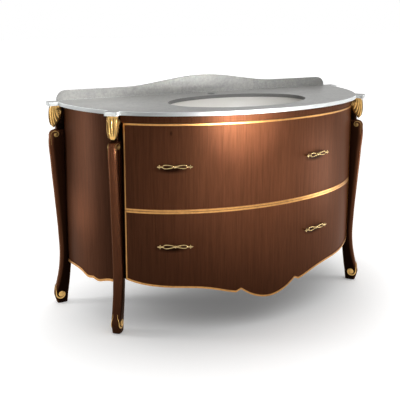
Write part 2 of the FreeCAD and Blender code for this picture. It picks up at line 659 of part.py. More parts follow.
def plumbing():
    """Waste, plug and bottle trap below the basin, with the pipe to the wall."""
    x, y = 0.0, BASIN_Y
    floor = SLAB_UNDER - BASIN_DEPTH
    def level(z):
        return vec(x, y, z)
    waste_end = floor - WASTE_LENGTH
    waste = tube(WASTE_R, WASTE_R - WASTE_WALL, level(waste_end), level(floor))
    flange = tube(WASTE_FLANGE_R, WASTE_R - WASTE_WALL, level(floor), level(floor + WASTE_FLANGE_HEIGHT))
    nut_top = floor - BASIN_WALL
    nut = tube(WASTE_NUT_R, WASTE_R, level(nut_top - WASTE_NUT_HEIGHT), level(nut_top))
    plug_z = floor + WASTE_FLANGE_HEIGHT + PLUG_GAP
    plug = Part.makeCone(PLUG_R, PLUG_R * 0.86, PLUG_HEIGHT, level(plug_z))
    stem = rod(PLUG_STEM_R, level(plug_z - PLUG_STEM_LENGTH), level(plug_z))
    pipe_in = TRAP_PIPE_R - TRAP_PIPE_WALL
    inlet_end = waste_end - TRAP_INLET_LENGTH
    collar = tube(WASTE_R + TRAP_WALL, WASTE_R, level(waste_end), level(waste_end + TRAP_COLLAR))
    shelf = tube(WASTE_R + TRAP_WALL, pipe_in, level(waste_end - TRAP_WALL), level(waste_end))
    inlet = tube(TRAP_PIPE_R, pipe_in, level(inlet_end), level(waste_end - TRAP_WALL))
    inlet = inlet.multiFuse([collar, shelf])
    body_top = waste_end - 2 * TRAP_COLLAR
    body_end = body_top - TRAP_BODY_HEIGHT
    body = rod(TRAP_BODY_R, level(body_end), level(body_top))
    spout_z = body_top - TRAP_SPOUT_DROP
    spout_y = y + TRAP_BODY_R + TRAP_SPOUT_REACH
    body = body.fuse(rod(TRAP_PIPE_R + TRAP_WALL, vec(x, y, spout_z), vec(x, spout_y, spout_z)))
    body = body.cut(rod(TRAP_BODY_R - TRAP_WALL, level(body_end), level(body_top - TRAP_WALL)))
    body = body.cut(rod(TRAP_PIPE_R, level(body_top - TRAP_WALL), level(body_top)))
    body = body.cut(rod(TRAP_PIPE_R, vec(x, y, spout_z), vec(x, spout_y, spout_z)))
    cup_end = body_end - TRAP_CUP_HEIGHT
    cup = rod(TRAP_BODY_R, level(cup_end), level(body_end))
    cup = cup.cut(rod(TRAP_BODY_R - TRAP_WALL, level(cup_end + TRAP_WALL), level(body_end)))
    outlet_y = spout_y - TRAP_SPOUT_REACH / 2
    outlet = tube(TRAP_PIPE_R, pipe_in, vec(x, outlet_y, spout_z), vec(x, BACK_Y, spout_z))
    rose = tube(WALL_ROSE_R, TRAP_PIPE_R, vec(x, BACK_Y - WALL_ROSE_HEIGHT, spout_z), vec(x, BACK_Y, spout_z))
    return {
        "waste_body": waste.fuse(flange), "waste_nut": nut, "waste_plug": plug.fuse(stem),
        "trap_inlet_pipe": inlet, "trap_body": body, "trap_cup": cup,
        "trap_outlet_pipe": outlet, "trap_wall_rose": rose,
    }


def make_bottom_panel(cutters):
    half = 0.92 * LEG_FRONT_X
    inset = -FRONT_THICKNESS - FRONT_CLEARANCE
    edges = [bow_curve(half, inset, BOTTOM_Z)]
    backs = []
    for side in (-1, 1):
        a, arc, b = side_arc(side, -PANEL, BOTTOM_Z)
        back = vec(b.x, BACK_Y, BOTTOM_Z)
        edges += [Part.LineSegment(bow_point(side * half, inset, BOTTOM_Z), a).toShape(), arc]
        edges.append(Part.LineSegment(b, back).toShape())
        backs.append(back)
    edges.append(Part.LineSegment(*backs).toShape())
    return prism(edges, vec(0, 0, BOTTOM_THICKNESS)).cut(cutters)


def make_brackets():
    """Angle brackets that tie the partitions to the marble."""
    brackets = []
    for side in (-1, 1):
        for y in (BASIN_Y, BACK_PANEL_Y - 2 * BRACKET_SPAN):
            face = PARTITION_X
            end = y + BRACKET_SPAN
            flat = block(face - BRACKET_LEG, face, y, end, SLAB_UNDER - BRACKET_THICKNESS, SLAB_UNDER)
            upright = block(face - BRACKET_THICKNESS, face, y, end, SLAB_UNDER - BRACKET_LEG, SLAB_UNDER)
            angle = flat.fuse(upright)
            brackets.append(angle if side > 0 else angle.mirror(vec(0, 0), vec(1, 0, 0)))
    return Part.makeCompound(brackets)


FRONT_CORNERS = {
    side: Corner(side, LEG_FRONT_X, bow_y(LEG_FRONT_X) + LEG_FRONT_SET, LEG_FRONT_TURN) for side in (-1, 1)
}
REAR_CORNERS = {side: Corner(side, LEG_REAR_X, BACK_Y - LEG_REAR_INSET, 90.0) for side in (-1, 1)}
CORNERS = list(FRONT_CORNERS.values()) + list(REAR_CORNERS.values())
SIDE_NAMES = {-1: "left", 1: "right"}


def build():
    nodes = {}
    leg, cap = make_leg(), make_cap()
    legs = []
    for row, corners in (("front", FRONT_CORNERS), ("rear", REAR_CORNERS)):
        for side, corner in corners.items():
            name = f"{row}_{SIDE_NAMES[side]}"
            nodes[f"leg_{name}"] = corner.place(leg)
            nodes[f"leg_cap_{name}"] = corner.place(cap)
            legs.append(nodes[f"leg_{name}"])
    foot_middle = (FOOT_SECTIONS[0][1] + FOOT_SECTIONS[0][2]) / 2
    glide = rod(GLIDE_R, vec(foot_middle, 0), vec(foot_middle, 0, GLIDE_HEIGHT))
    nodes["foot_glides"] = Part.makeCompound([corner.place(glide) for corner in CORNERS])

    nodes["marble_top"] = make_slab()
    nodes["marble_upstand"] = make_upstand()
    nodes["basin"] = make_basin()
    nodes.update(plumbing())

    frieze = bow_layer(LEG_FRONT_X, 0, -FRONT_THICKNESS, FRIEZE_Z, SLAB_UNDER)
    caps = [nodes[f"leg_cap_front_{name}"] for name in SIDE_NAMES.values()]
    nodes["front_frieze_rail"] = frieze.cut(legs + caps)
    rear = block(-FAR, FAR, BACK_PANEL_Y - BACK_THICKNESS, FAR, 0, SLAB_UNDER)
    for side, name in SIDE_NAMES.items():
        panel = side_layer(side, 0, -PANEL, 0, SLAB_UNDER).common(side_band(side, 0, SLAB_UNDER))
        nodes[f"side_panel_{name}"] = panel.cut(legs + caps + [rear])
        bead = side_layer(side, BEAD_PROUD, 0, 0, SLAB_UNDER).common(side_band(side, 0, None))
        nodes[f"side_bead_{name}"] = bead.cut(legs)
        x0, x1 = sorted((side * PARTITION_X, side * (PARTITION_X + PARTITION_THICKNESS)))
        board = block(x0, x1, FRONT_Y, BACK_PANEL_Y - BACK_THICKNESS, BOTTOM_Z + BOTTOM_THICKNESS, SLAB_UNDER)
        nodes[f"partition_{name}"] = behind_front(board)
    back = block(-LEG_REAR_X, LEG_REAR_X, BACK_PANEL_Y - BACK_THICKNESS, BACK_PANEL_Y, BOTTOM_Z, SLAB_UNDER)
    service = block(-SERVICE_HALF, SERVICE_HALF, 0, BACK_Y, SERVICE_Z, SERVICE_Z + SERVICE_HEIGHT)
    screw_z = SLAB_UNDER - WALL_SCREW_DROP
    wall_screws = [rod(WALL_SCREW_R, vec(x, 0, screw_z), vec(x, BACK_Y, screw_z))
                   for x in (-WALL_SCREW_HALF, WALL_SCREW_HALF)]
    nodes["back_panel"] = back.cut(legs + [service] + wall_screws)
    nodes["bottom_panel"] = make_bottom_panel(legs + [rear])
    nodes["slab_brackets"] = make_brackets()

    drawers = (
        ("upper", upper_outline, UPPER_BOTTOM, UPPER_BOX_Z, UPPER_BOX_HEIGHT, PULL_UPPER_Z),
        ("lower", lower_outline, 0.0, LOWER_BOX_Z, LOWER_BOX_HEIGHT, PULL_LOWER_Z),
    )
    for name, outline, low, box_z, height, pull_z in drawers:
        front = drawer_front(outline, low)
        nodes[f"{name}_drawer_bead"] = drawer_bead(outline, low)
        screws, pockets = [], []
        for x, side in ((PULL_LEFT_X, "left"), (PULL_RIGHT_X, "right")):
            nodes[f"{name}_pull_{side}"] = raised(make_pull(x), pull_z)
            front = front.cut([raised(hole, pull_z) for hole in pull_screws(x, SCREW_HOLE_R, False)])
            screws += [raised(screw, pull_z) for screw in pull_screws(x, SCREW_R, True)]
            pockets += [raised(space, pull_z) for space in pull_screws(x, SCREW_HEAD_R + SCREW_POCKET, False)]
        nodes[f"{name}_drawer_front"] = front
        nodes[f"{name}_pull_screws"] = Part.makeCompound(screws)
        for side, side_name in SIDE_NAMES.items():
            nodes[f"{name}_drawer_side_{side_name}"] = box_side(side, box_z, height).cut(pockets)
            nodes[f"{name}_rail_{side_name}"] = fixed_rail(side, runner_z(box_z))
            nodes[f"{name}_runner_{side_name}"] = drawer_rail(side, runner_z(box_z))
        back, floor = box_back(box_z, height), box_floor(box_z)
        if name == "upper":
            recess = well_space(box_z, height, WELL_WALL)
            back, floor = back.cut(recess), floor.cut(recess)
            nodes["upper_drawer_well"] = well_liner(box_z, height)
        nodes[f"{name}_drawer_back"] = back
        nodes[f"{name}_drawer_floor"] = floor
    return nodes


os.makedirs("parts", exist_ok=True)
for node, shape in build().items():
    shape.exportStep(f"parts/{node}.step")
    print(f"{node:26s} solids {len(shape.Solids)}  valid {shape.isValid()}  cm3 {shape.Volume / 1000:.1f}")
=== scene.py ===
import json
import math

import bpy
import numpy as np
from bpy.props import FloatProperty, FloatVectorProperty, PointerProperty
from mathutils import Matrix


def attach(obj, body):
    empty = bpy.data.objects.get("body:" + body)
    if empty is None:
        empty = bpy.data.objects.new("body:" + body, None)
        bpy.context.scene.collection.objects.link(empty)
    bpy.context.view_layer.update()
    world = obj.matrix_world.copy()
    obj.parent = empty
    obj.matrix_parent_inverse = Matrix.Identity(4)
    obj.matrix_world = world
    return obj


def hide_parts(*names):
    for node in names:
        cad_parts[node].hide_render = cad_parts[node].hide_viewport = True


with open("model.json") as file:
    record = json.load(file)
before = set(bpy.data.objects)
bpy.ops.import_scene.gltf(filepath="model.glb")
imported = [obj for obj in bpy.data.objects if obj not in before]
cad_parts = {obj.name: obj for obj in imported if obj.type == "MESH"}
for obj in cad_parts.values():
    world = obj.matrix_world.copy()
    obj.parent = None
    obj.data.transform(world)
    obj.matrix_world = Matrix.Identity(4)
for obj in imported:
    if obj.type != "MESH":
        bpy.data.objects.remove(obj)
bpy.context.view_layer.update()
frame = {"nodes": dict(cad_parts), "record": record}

bl_info = {
    "name": "Bow-fronted vanity unit",
    "version": (1, 0, 0),
    "blender": (4, 5, 0),
    "location": "3D View > Sidebar > Vanity",
    "description": "Finishes, carving, pulls and studio for a bow-fronted vanity unit",
    "category": "Object",
}

NODES = frame["nodes"]

# The plan of the unit, in metres, as the solids have it
FRONT_Y = -0.2895
BOW_HALF = 0.5405
BOW_DEPTH = 0.1866
BOW_ROUND = 0.2
SLAB_UNDER = 0.865
SLAB_TOP = 0.8803
LEG_FRONT_X = 0.561
LEG_FRONT_SET = 0.0053
LEG_FRONT_TURN = 40.0
LEG_REAR = (0.677, 0.2695)
PULL_PLACES = {"left": -0.380, "right": 0.224}
PULL_HEIGHTS = {"upper": 0.674, "lower": 0.362}

# Marks in the finishes: the zone of the basin's cut, whose faces get painted shade, a knot in the veneer, and a
# painted shadow below and behind each pull
SINK_SHADE_ZONE = (0.40, 0.27, 0.0)
KNOT_PLACE = (-0.392, 0.0, 0.797)
KNOT_REACH = (0.005, 0.0, 0.012)
KNOT_TONE = 0.4
PULL_SHADOW_SHIFT = {"left": -0.012, "right": 0.008}
PULL_SHADOW_DROP = 0.015
PULL_SHADOW_REACH = (0.064, 0.0, 0.019)
PULL_SHADOW_TONE = 0.16

# Finishes that have no setting: colours, roughness, and the share of metal that gives lacquer a warm gloss
VENEER_GLOSS = 0.14
LEG_ROUGHNESS = 0.24
LEG_GLOSS = 0.4
LACQUER_LEVEL = 0.03
LACQUER_TINT = (1.0, 0.62, 0.42, 1.0)
BOARD_COLOR = (0.13, 0.065, 0.035)
BOARD_ROUGHNESS = 0.5
DRAWER_COLOR = (0.42, 0.26, 0.13)
DRAWER_ROUGHNESS = 0.45
GILDING_ROUGHNESS = 0.3
BEAD_COLOR = (0.50, 0.25, 0.08)
BEAD_ROUGHNESS = 0.36
# Darker copy of the gilding: painted shade for the shoulder scrolls
SHADED_GILDING_SHARE = 0.34
SHADED_GILDING_ROUGHNESS = 0.34
# Share of the gilding's colour in its hollows, as painted shade
HOLLOW_SHADE_SHARE = 0.13
# Share that lightens the marble on the upstand, as painted light
UPSTAND_LIGHT_SHARE = 1.3
# Share of the veins' colour on the faces of the basin's cut, as painted shade
CUT_SHADE_SHARE = 0.75
CHROME_COLOR = (0.72, 0.73, 0.75)
CHROME_ROUGHNESS = 0.1
CHROME_WORN = 0.92
BRASS_ROUGHNESS = 0.2
BRASS_WORN = 0.5
STEEL_COLOR = (0.55, 0.56, 0.58)
STEEL_ROUGHNESS = 0.32
STEEL_BRUSHING = (1.0, 0.05, 1.0)
STEEL_WORN = 0.8
GLIDE_COLOR = (0.03, 0.03, 0.03)


def bow_y(x):
    """Depth of the bowed front: a square and a sixth power of the distance from the middle."""
    share = abs(x) / BOW_HALF
    return FRONT_Y + BOW_DEPTH * ((1 - BOW_ROUND) * share ** 2 + BOW_ROUND * share ** 6)


def bow_slope(x):
    """Slope of the bowed front: the derivative of its depth, with the sign of x."""
    share = abs(x) / BOW_HALF
    rise = BOW_DEPTH / BOW_HALF * (2 * (1 - BOW_ROUND) * share + 6 * BOW_ROUND * share ** 5)
    return math.copysign(rise, x)


def leg_frames():
    """Name, foot point and outward direction of each leg."""
    turn = math.radians(LEG_FRONT_TURN)
    front_y = bow_y(LEG_FRONT_X) + LEG_FRONT_SET
    for side, name in ((-1, "left"), (1, "right")):
        yield f"front_{name}", (side * LEG_FRONT_X, front_y), (side * math.sin(turn), -math.cos(turn))
        yield f"rear_{name}", (side * LEG_REAR[0], LEG_REAR[1]), (side, 0.0)


def on_leg(points, base, out):
    """Points given as outward reach, sideways offset and height, moved to a leg's place."""
    r, t, z = points[..., 0], points[..., 1], points[..., 2]
    x = base[0] + r * out[0] - t * out[1]
    y = base[1] + r * out[1] + t * out[0]
    return np.stack([x, y, z], axis=-1)


# Surfaces


def grid_faces(rows, columns, close_rows, first):
    """Quads between the points of a grid that closes round its columns, and round its rows if asked."""
    i = np.arange(rows if close_rows else rows - 1)
    i, j = np.meshgrid(i, np.arange(columns), indexing="ij")
    below, beside = (i + 1) % rows, (j + 1) % columns
    quads = [i * columns + j, i * columns + beside, below * columns + beside, below * columns + j]
    return np.stack(quads, axis=-1).reshape(-1, 4) + first


def cap_faces(rows, columns, first):
    """End faces of a tube: its first and its last row, each as one polygon."""
    start = np.arange(columns)[::-1] + first
    end = np.arange(columns) + first + (rows - 1) * columns
    return [start.tolist(), end.tolist()]


SHARP_ANGLE = math.radians(50)


class Form:
    """Grids gathered into one mesh, with a painted shade for the hollows at each point."""

    def __init__(self):
        self.points = []
        self.faces = []
        self.hollows = []
        self.count = 0

    def add(self, grid, close_rows=False, hollow=0.0):
        """Take in a grid of points, with the painted shade of its hollows."""
        rows, columns = grid.shape[:2]
        self.hollows.append(np.broadcast_to(hollow, (rows, columns)).reshape(-1))
        self.faces += grid_faces(rows, columns, close_rows, self.count).tolist()
        if not close_rows:
            self.faces += cap_faces(rows, columns, self.count)
        self.points.append(grid.reshape(-1, 3))
        self.count += rows * columns

    def object(self, name, material, body, slot, replaced=()):
        """Make the grids one piece that rides on a body and stands for the CAD nodes that it replaces."""
        mesh = bpy.data.meshes.new(name)
        mesh.from_pydata(np.concatenate(self.points), [], self.faces)
        mesh.validate()
        mesh.update()
        mesh.shade_smooth()
        mesh.set_sharp_from_angle(angle=SHARP_ANGLE)
        mesh.materials.append(material)
        # Painted shade for the hollows, read by the gilding's colour
        cavity_shade = mesh.attributes.new("cavity_shade", "FLOAT", "POINT")
        cavity_shade.data.foreach_set("value", np.concatenate(self.hollows).astype(np.float32))
        piece = bpy.data.objects.new(name, mesh)
        bpy.context.scene.collection.objects.link(piece)
        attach(piece, body)
        if replaced:
            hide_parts(*replaced)


def unit(v):
    """Vectors divided by their lengths."""
    return v / np.maximum(np.linalg.norm(v, axis=-1, keepdims=True), 1e-12)


def tube(path, radii, across, columns=12, closed=False, flat=1.0):
    """Rings round the points of a path, square to it.

    across is a direction that the path never runs along, and flat squashes the rings that way.
    """
    ahead, behind = np.roll(path, -1, axis=0), np.roll(path, 1, axis=0)
    if not closed:
        ahead[-1], behind[0] = path[-1], path[0]
    along = unit(ahead - behind)
    side = unit(np.cross(along, np.asarray(across, float)))
    up = np.cross(side, along)
    turn = np.linspace(0, 2 * np.pi, columns, endpoint=False)
    radii = np.broadcast_to(radii, len(path))[:, None, None]
    cosine, sine = np.cos(turn)[None, :, None], np.sin(turn)[None, :, None]
    return path[:, None] + radii * (side[:, None] * cosine + flat * up[:, None] * sine)


def lathe(profile, origin, axis, columns=20):
    """Turned form: rows of distance along the axis and radius."""
    profile = np.asarray(profile, float)
    axis = unit(np.asarray(axis, float))
    helper = np.array([0.0, 0.0, 1.0]) if abs(axis[2]) < 0.9 else np.array([1.0, 0.0, 0.0])
    u = unit(np.cross(helper, axis))
    v = np.cross(axis, u)
    turn = np.linspace(0, 2 * np.pi, columns, endpoint=False)
    ring = u * np.cos(turn)[:, None] + v * np.sin(turn)[:, None]
    return np.asarray(origin) + profile[:, :1, None] * axis + profile[:, 1:, None] * ring[None]


def smooth_rows(keys, count):
    """Count rows, even along the first column, on cubic curves through the key rows and their mean slopes."""
    keys = np.asarray(keys, float)
    at = np.linspace(keys[0, 0], keys[-1, 0], count)
    columns = [at]
    for column in keys.T[1:]:
        slope = np.gradient(column, keys[:, 0])
        i = np.clip(np.searchsorted(keys[:, 0], at) - 1, 0, len(keys) - 2)
        run = keys[i + 1, 0] - keys[i, 0]
        s = (at - keys[i, 0]) / run
        h = 3 * s ** 2 - 2 * s ** 3
        bend = run * (slope[i] * (s - 2 * s ** 2 + s ** 3) + slope[i + 1] * (s ** 3 - s ** 2))
        columns.append(column[i] * (1 - h) + column[i + 1] * h + bend)
    return np.stack(columns, axis=1)


# Materials

UPRIGHT_LIMIT = 0.75
EVEN = (1.0, 1.0, 1.0)


def map_range(tree, span, result):
    """Node that maps a span of values to a range of results."""
    made = tree.nodes.new("ShaderNodeMapRange")
    for key, value in zip(("From Min", "From Max", "To Min", "To Max"), (*span, *result)):
        made.inputs[key].default_value = value
    return made


class Shader:
    """A node material in the making."""

    def __init__(self, name):
        self.material = bpy.data.materials.new(name)
        self.material.use_nodes = True
        self.tree = self.material.node_tree
        self.surface = self.tree.nodes["Principled BSDF"]

    def node(self, kind, **inputs):
        made = self.tree.nodes.new(kind)
        for key, value in inputs.items():
            made.inputs[key.replace("_", " ")].default_value = value
        return made

    def link(self, start, end):
        self.tree.links.new(start, end)

    def place(self, scale=EVEN, turn=(0.0, 0.0, 0.0), move=(0.0, 0.0, 0.0)):
        """Object coordinates, scaled, turned and moved."""
        coordinates = self.node("ShaderNodeTexCoord")
        mapping = self.node("ShaderNodeMapping", Scale=scale, Rotation=turn, Location=move)
        self.link(coordinates.outputs["Object"], mapping.inputs["Vector"])
        return mapping.outputs["Vector"]

    def noise(self, vector, scale, detail=4.0, rough=0.55, distortion=0.0):
        made = self.node(
            "ShaderNodeTexNoise", Scale=scale, Detail=detail, Roughness=rough, Distortion=distortion)
        self.link(vector, made.inputs["Vector"])
        return made.outputs["Fac"]

    def ramp(self, factor, stops):
        made = self.tree.nodes.new("ShaderNodeValToRGB")
        elements = made.color_ramp.elements
        while len(elements) < len(stops):
            elements.new(0.5)
        for element, (at, color) in zip(elements, stops):
            element.position = at
            element.color = (*color, 1.0)
        self.link(factor, made.inputs["Fac"])
        return made.outputs["Color"]

    def mix(self, factor, first, second, blend="MIX"):
        made = self.tree.nodes.new("ShaderNodeMix")
        made.data_type = "RGBA"
        made.blend_type = blend
        sockets = {"Factor_Float": factor, "A_Color": first, "B_Color": second}
        for socket in made.inputs:
            value = sockets.get(socket.identifier)
            if value is None:
                continue
            if isinstance(value, bpy.types.NodeSocket):
                self.link(value, socket)
            else:
                socket.default_value = value
        return next(s for s in made.outputs if s.identifier == "Result_Color")

    def range(self, factor, low, high):
        """A factor from 0 to 1, mapped to low and high."""
        made = map_range(self.tree, (0.0, 1.0), (low, high))
        self.link(factor, made.inputs["Value"])
        return made.outputs["Result"]

    def bump(self, height, strength, distance):
        made = self.node("ShaderNodeBump", Strength=strength, Distance=distance)
        self.link(height, made.inputs["Height"])
        self.link(made.outputs["Normal"], self.surface.inputs["Normal"])

    def math(self, operation, *values):
        made = self.tree.nodes.new("ShaderNodeMath")
        made.operation = operation
        for socket, value in zip(made.inputs, values):
            if isinstance(value, bpy.types.NodeSocket):
                self.link(value, socket)
            else:
                socket.default_value = value
        return made.outputs["Value"]

    def away(self, center, reach):
        """Distance from a center, in shares of each axis's reach; an axis with no reach doesn't count."""
        scale = tuple(1 / r if r else 0.0 for r in reach)
        move = tuple(-c * k for c, k in zip(center, scale))
        length = self.node("ShaderNodeVectorMath")
        length.operation = "LENGTH"
        self.link(self.place(scale, move=move), length.inputs[0])
        return length.outputs["Value"]

    def attribute(self, name):
        made = self.node("ShaderNodeAttribute")
        made.attribute_name = name
        return made.outputs["Fac"]

    def part(self, output, axis):
        """One axis of a texture coordinate."""
        coordinates = self.node("ShaderNodeTexCoord")
        split = self.node("ShaderNodeSeparateXYZ")
        self.link(coordinates.outputs[output], split.inputs["Vector"])
        return split.outputs[axis]

    def upright_below(self, top):
        """1 on upright faces below a height, else 0."""
        upright = self.math("LESS_THAN", self.math("ABSOLUTE", self.part("Normal", "Z")), UPRIGHT_LIMIT)
        return self.math("MULTIPLY", upright, self.math("LESS_THAN", self.part("Object", "Z"), top))

    def set(self, **inputs):
        for key, value in inputs.items():
            socket = self.surface.inputs[key.replace("_", " ")]
            if isinstance(value, bpy.types.NodeSocket):
                self.link(value, socket)
            else:
                socket.default_value = value


def grey(value):
    return value, value, value


def shade(color, factor):
    """A colour times a factor, held at 1."""
    return tuple(min(1.0, c * factor) for c in color)


def veneer_shader(name, color, rough, gloss):
    """Upright grain: long streaks, fine pores and slow changes of tone, under warm lacquer."""
    s = Shader(name)
    streaks = s.noise(s.place((46.0, 46.0, 1.6)), scale=3.0, detail=6.0, rough=0.6, distortion=0.25)
    pores = s.noise(s.place((240.0, 240.0, 5.0)), scale=4.0, detail=3.0, rough=0.5)
    slow = s.noise(s.place((3.0, 3.0, 0.7)), scale=1.5, detail=2.0)
    grain = s.ramp(streaks, [(0.3, shade(color, 0.78)), (0.52, color), (0.75, shade(color, 1.18))])
    tone = s.ramp(slow, [(0.3, (0.92, 0.9, 0.88)), (0.7, grey(1.0))])
    pore_tone = s.ramp(pores, [(0.35, (0.8, 0.78, 0.76)), (0.55, grey(1.0))])
    wood = s.mix(0.8, s.mix(1.0, grain, tone, "MULTIPLY"), pore_tone, "MULTIPLY")
    s.set(Base_Color=wood, Roughness=s.range(streaks, rough - 0.04, rough + 0.06))
    s.set(Metallic=gloss, Specular_IOR_Level=LACQUER_LEVEL, Specular_Tint=LACQUER_TINT)
    s.bump(pores, strength=0.05, distance=0.0003)
    return s, wood


def front_material(name, color, rough, gloss):
    """Veneer of the front, with one small knot high on the left and a painted shadow below and behind each
    pull.
    """
    s, wood = veneer_shader(name, color, rough, gloss)
    marks = [(KNOT_PLACE, KNOT_REACH, KNOT_TONE)]
    # Painted shadow below and behind each pull
    for side, x in PULL_PLACES.items():
        for height in PULL_HEIGHTS.values():
            place = (x + PULL_SHADOW_SHIFT[side], 0.0, height - PULL_SHADOW_DROP)
            marks.append((place, PULL_SHADOW_REACH, PULL_SHADOW_TONE))
    for place, reach, tone in marks:
        mark = s.ramp(s.away(place, reach), [(0.35, grey(tone)), (1.0, grey(1.0))])
        wood = s.mix(1.0, wood, mark, "MULTIPLY")
    s.set(Base_Color=wood)
    return s.material


# Painted light and shade on a side panel by its depth plus an offset, in metres: darker towards its ends and a
# little lighter in the middle
SIDE_OFFSET = 0.5
SIDE_LIGHT_AND_SHADE = [
    (0.35, grey(0.4)), (0.44, grey(0.5)), (0.525, grey(0.85)), (0.57, grey(1.05)), (0.625, grey(1.05)),
    (0.70, grey(0.58)), (0.78, grey(0.4)),
]


def side_material(name, color, rough, gloss):
    """Veneer of a curved side, with painted shade towards its ends and painted light in the middle."""
    s, wood = veneer_shader(name, color, rough, gloss)
    # Painted light and shade: darker towards the ends, a little lighter in the middle
    tone = s.ramp(s.math("ADD", s.part("Object", "Y"), SIDE_OFFSET), SIDE_LIGHT_AND_SHADE)
    s.set(Base_Color=s.mix(1.0, wood, tone, "MULTIPLY"))
    return s.material


# Painted shade on a leg by its height in metres, darker towards the foot and near black in the neck, and by how
# far it faces sideways, dark on the side faces
LEG_HEIGHT_SHADE = [
    (0.0, grey(0.55)), (0.45, grey(0.8)), (0.757, grey(1.0)), (0.766, (0.08, 0.07, 0.06)),
    (0.86, (0.12, 0.11, 0.1)),
]
LEG_SIDE_SHADE = [(0.91, grey(1.0)), (0.985, (0.16, 0.14, 0.13))]


def leg_material(name, color, rough, gloss, across):
    """Glossy leg, with painted shade on its side faces, towards its foot and in the neck; across points out of
    a side.

    The left and the right leg share it: the sideways part of the normal is mirrored with x.
    """
    s, wood = veneer_shader(name, color, rough, gloss)
    mirror = s.math("SIGN", s.part("Object", "X"))
    lateral = s.math("MULTIPLY", s.math("MULTIPLY", s.part("Normal", "X"), mirror), across[0])
    facing = s.math("ABSOLUTE", s.math("ADD", lateral, s.math("MULTIPLY", s.part("Normal", "Y"), across[1])))
    # Painted shade on the side faces
    side_shade = s.ramp(facing, LEG_SIDE_SHADE)
    # Painted shade by height: darker towards the foot, near black in the neck
    rise = s.ramp(s.part("Object", "Z"), LEG_HEIGHT_SHADE)
    s.set(Base_Color=s.mix(1.0, s.mix(1.0, wood, side_shade, "MULTIPLY"), rise, "MULTIPLY"))
    return s.material


def gilding_material(name, color, rough):
    """Leaf on carving: warm metal, patchy roughness, and painted shade in the hollows."""
    s = Shader(name)
    patches = s.noise(s.place(), scale=70.0, detail=4.0, rough=0.6)
    flecks = s.noise(s.place(), scale=420.0, detail=2.0)
    tone = s.ramp(patches, [(0.3, shade(color, 0.78)), (0.5, color), (0.72, shade(color, 1.12))])
    hollow = s.attribute("cavity_shade")
    s.set(Base_Color=s.mix(hollow, tone, (*shade(color, HOLLOW_SHADE_SHARE), 1.0)), Metallic=0.9)
    s.set(Roughness=s.range(patches, rough + 0.08, rough - 0.06))
    s.bump(flecks, strength=0.1, distance=0.0002)
    return s.material


def marble_material(name, color, vein, edge):
    """Grey stone with a fine grain and faint veins; its outer edge is painted pale as a highlight, and the cut
    for the basin is painted dark as shade.
    """
    s = Shader(name)
    clouds = s.noise(s.place(), scale=7.0, detail=8.0, rough=0.65, distortion=0.6)
    slant = s.place((1.0, 1.6, 1.0), turn=(0.0, 0.0, 0.5))
    wander = s.noise(slant, scale=5.0, detail=8.0, rough=0.66, distortion=1.2)
    specks = s.noise(s.place(), scale=75.0, detail=5.0, rough=0.7)
    base = s.ramp(clouds, [(0.3, shade(color, 0.86)), (0.55, color), (0.8, shade(color, 1.1))])
    lines = s.ramp(wander, [(0.45, grey(0.0)), (0.5, grey(0.55)), (0.55, grey(0.0))])
    veined = s.mix(lines, base, (*vein, 1.0))
    dust = s.ramp(specks, [(0.35, (0.76, 0.76, 0.77)), (0.65, (1.06, 1.06, 1.05))])
    stone = s.mix(0.8, veined, dust, "MULTIPLY")
    # Upright faces of the slab: inside the basin's zone a dark copy of the veins as painted shade, outside it a
    # pale edge as a painted highlight
    outside = s.math("GREATER_THAN", s.away((0.0, 0.0, 0.0), SINK_SHADE_ZONE), 1.0)
    cut = s.mix(outside, (*shade(vein, CUT_SHADE_SHARE), 1.0), (*edge, 1.0))
    s.set(Base_Color=s.mix(s.upright_below(SLAB_TOP), stone, cut))
    s.set(Roughness=s.range(clouds, 0.28, 0.36), Specular_IOR_Level=0.08)
    return s.material


def glaze_material(name, color):
    """Satin glaze with slow changes of tone and gloss."""
    s = Shader(name)
    slow = s.noise(s.place(), scale=6.0, detail=3.0)
    s.set(Base_Color=s.ramp(slow, [(0.3, shade(color, 0.97)), (0.7, color)]))
    s.set(Roughness=s.range(slow, 0.28, 0.34), Specular_IOR_Level=0.3)
    return s.material


def metal_material(name, color, rough, streak, worn):
    """Metal with small changes of tone and roughness, drawn out along one way where it is brushed."""
    s = Shader(name)
    grain = s.noise(s.place(streak), scale=90.0, detail=4.0, rough=0.6)
    s.set(Base_Color=s.ramp(grain, [(0.3, shade(color, worn)), (0.7, color)]), Metallic=1.0)
    s.set(Roughness=s.range(grain, rough + 0.06, rough - 0.03))
    return s.material


def plastic_material(name, color):
    """Dull plastic with a fine grain."""
    s = Shader(name)
    grain = s.noise(s.place(), scale=300.0, detail=2.0)
    s.set(Base_Color=s.ramp(grain, [(0.3, shade(color, 0.9)), (0.7, color)]), Roughness=0.6)
    return s.material


MATERIALS = {}
NODE_SLOTS = {part["node"]: part["material_slot"] for part in frame["record"]["subparts"]}


